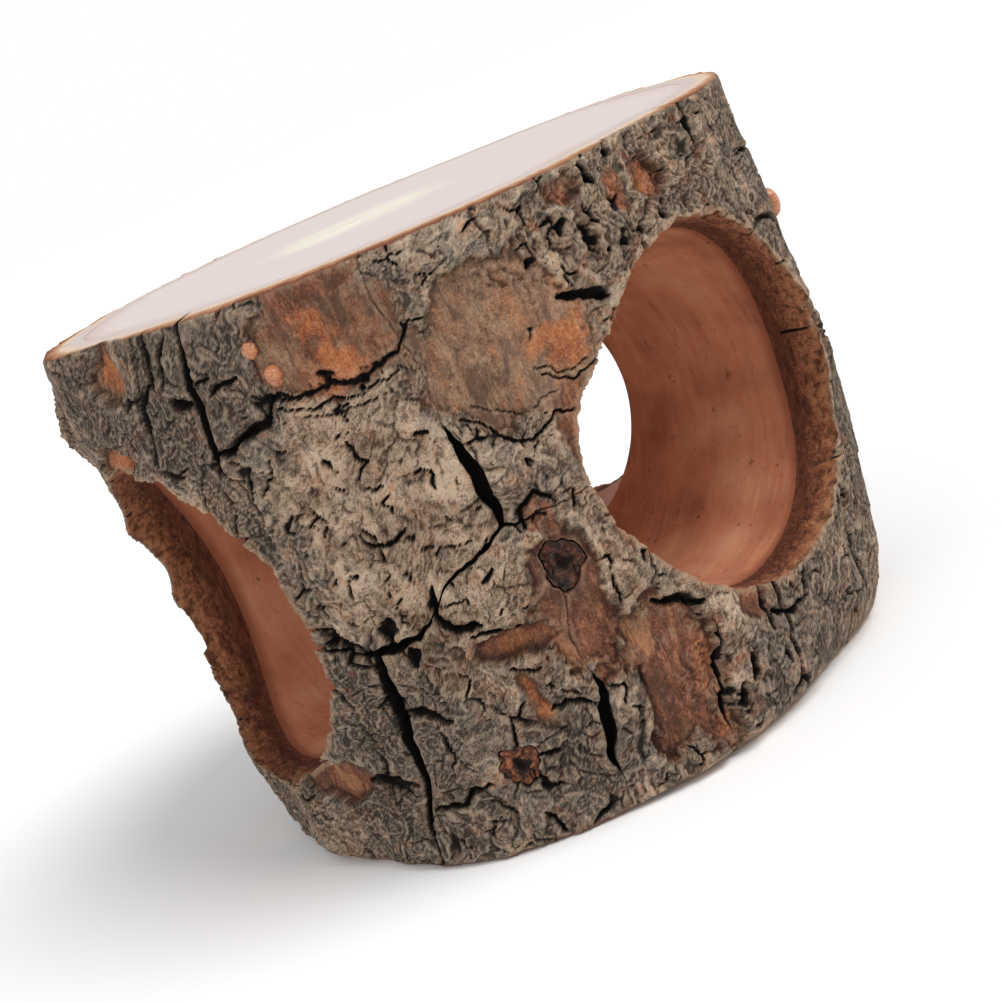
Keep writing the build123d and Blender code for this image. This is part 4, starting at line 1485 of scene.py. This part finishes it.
def add_floor(stage):
    """A plain pale floor that the log stands on."""
    bm = bmesh.new()
    bmesh.ops.create_grid(bm, x_segments=1, y_segments=1, size=3.0)
    floor = new_object("floor", bm)
    material, _, shader = new_material("floor")
    shader.inputs["Base Color"].default_value = (*tuple(stage.floor), 1.0)
    shader.inputs["Roughness"].default_value = 1.0
    shader.inputs["Specular IOR Level"].default_value = 0.0
    floor.data.materials.append(material)


def add_sky(stage):
    """Soft light from all round, which the camera sees as white."""
    world = bpy.data.worlds.new("studio")
    world.use_nodes = True
    tree = Tree(world.node_tree)
    background = tree.nodes["Background"]
    background.inputs["Color"].default_value = (1, 1, 1, 1)
    path = tree.nodes.new("ShaderNodeLightPath")
    seen = tree.math("MAXIMUM", path.outputs["Is Camera Ray"], path.outputs["Is Glossy Ray"])
    seen = tree.math("MAXIMUM", seen, path.outputs["Is Transmission Ray"])
    strength = tree.math("ADD", tree.math("MULTIPLY", seen, 1.0 - stage.sky), stage.sky)
    tree.links.new(strength, background.inputs["Strength"])
    bpy.context.scene.world = world


class LOG_PT_panel(Panel):
    """The log's settings and steps"""
    bl_idname = "LOG_PT_panel"
    bl_label = "Log hideout"
    bl_space_type = "VIEW_3D"
    bl_region_type = "UI"
    bl_category = "Log"

    def draw(self, context):
        for settings in (context.scene.log_sizes, context.scene.log_colours, context.scene.log_stage):
            for name in settings.__annotations__:
                self.layout.prop(settings, name)
        for step_class in STEPS:
            self.layout.operator(step_class.bl_idname)


SETTINGS = {"log_sizes": LogSizes, "log_colours": LogColours, "log_stage": LogStage}
STEPS = (
    LOG_OT_stage, LOG_OT_wood_core, LOG_OT_inner_bark, LOG_OT_bark_plates, LOG_OT_knots, LOG_OT_resin_beads)


def register():
    for each in (*SETTINGS.values(), *STEPS, LOG_PT_panel):
        bpy.utils.register_class(each)
    for name, settings in SETTINGS.items():
        setattr(bpy.types.Scene, name, PointerProperty(type=settings))


def unregister():
    for name in SETTINGS:
        delattr(bpy.types.Scene, name)
    for each in (LOG_PT_panel, *reversed(STEPS), *SETTINGS.values()):
        bpy.utils.unregister_class(each)


def main():
    register()
    bpy.ops.log_hideout.stage()
    bpy.ops.log_hideout.wood_core()
    bpy.ops.log_hideout.inner_bark()
    bpy.ops.log_hideout.bark_plates()
    bpy.ops.log_hideout.knots()
    bpy.ops.log_hideout.resin_beads()


if __name__ == "__main__":
    main()
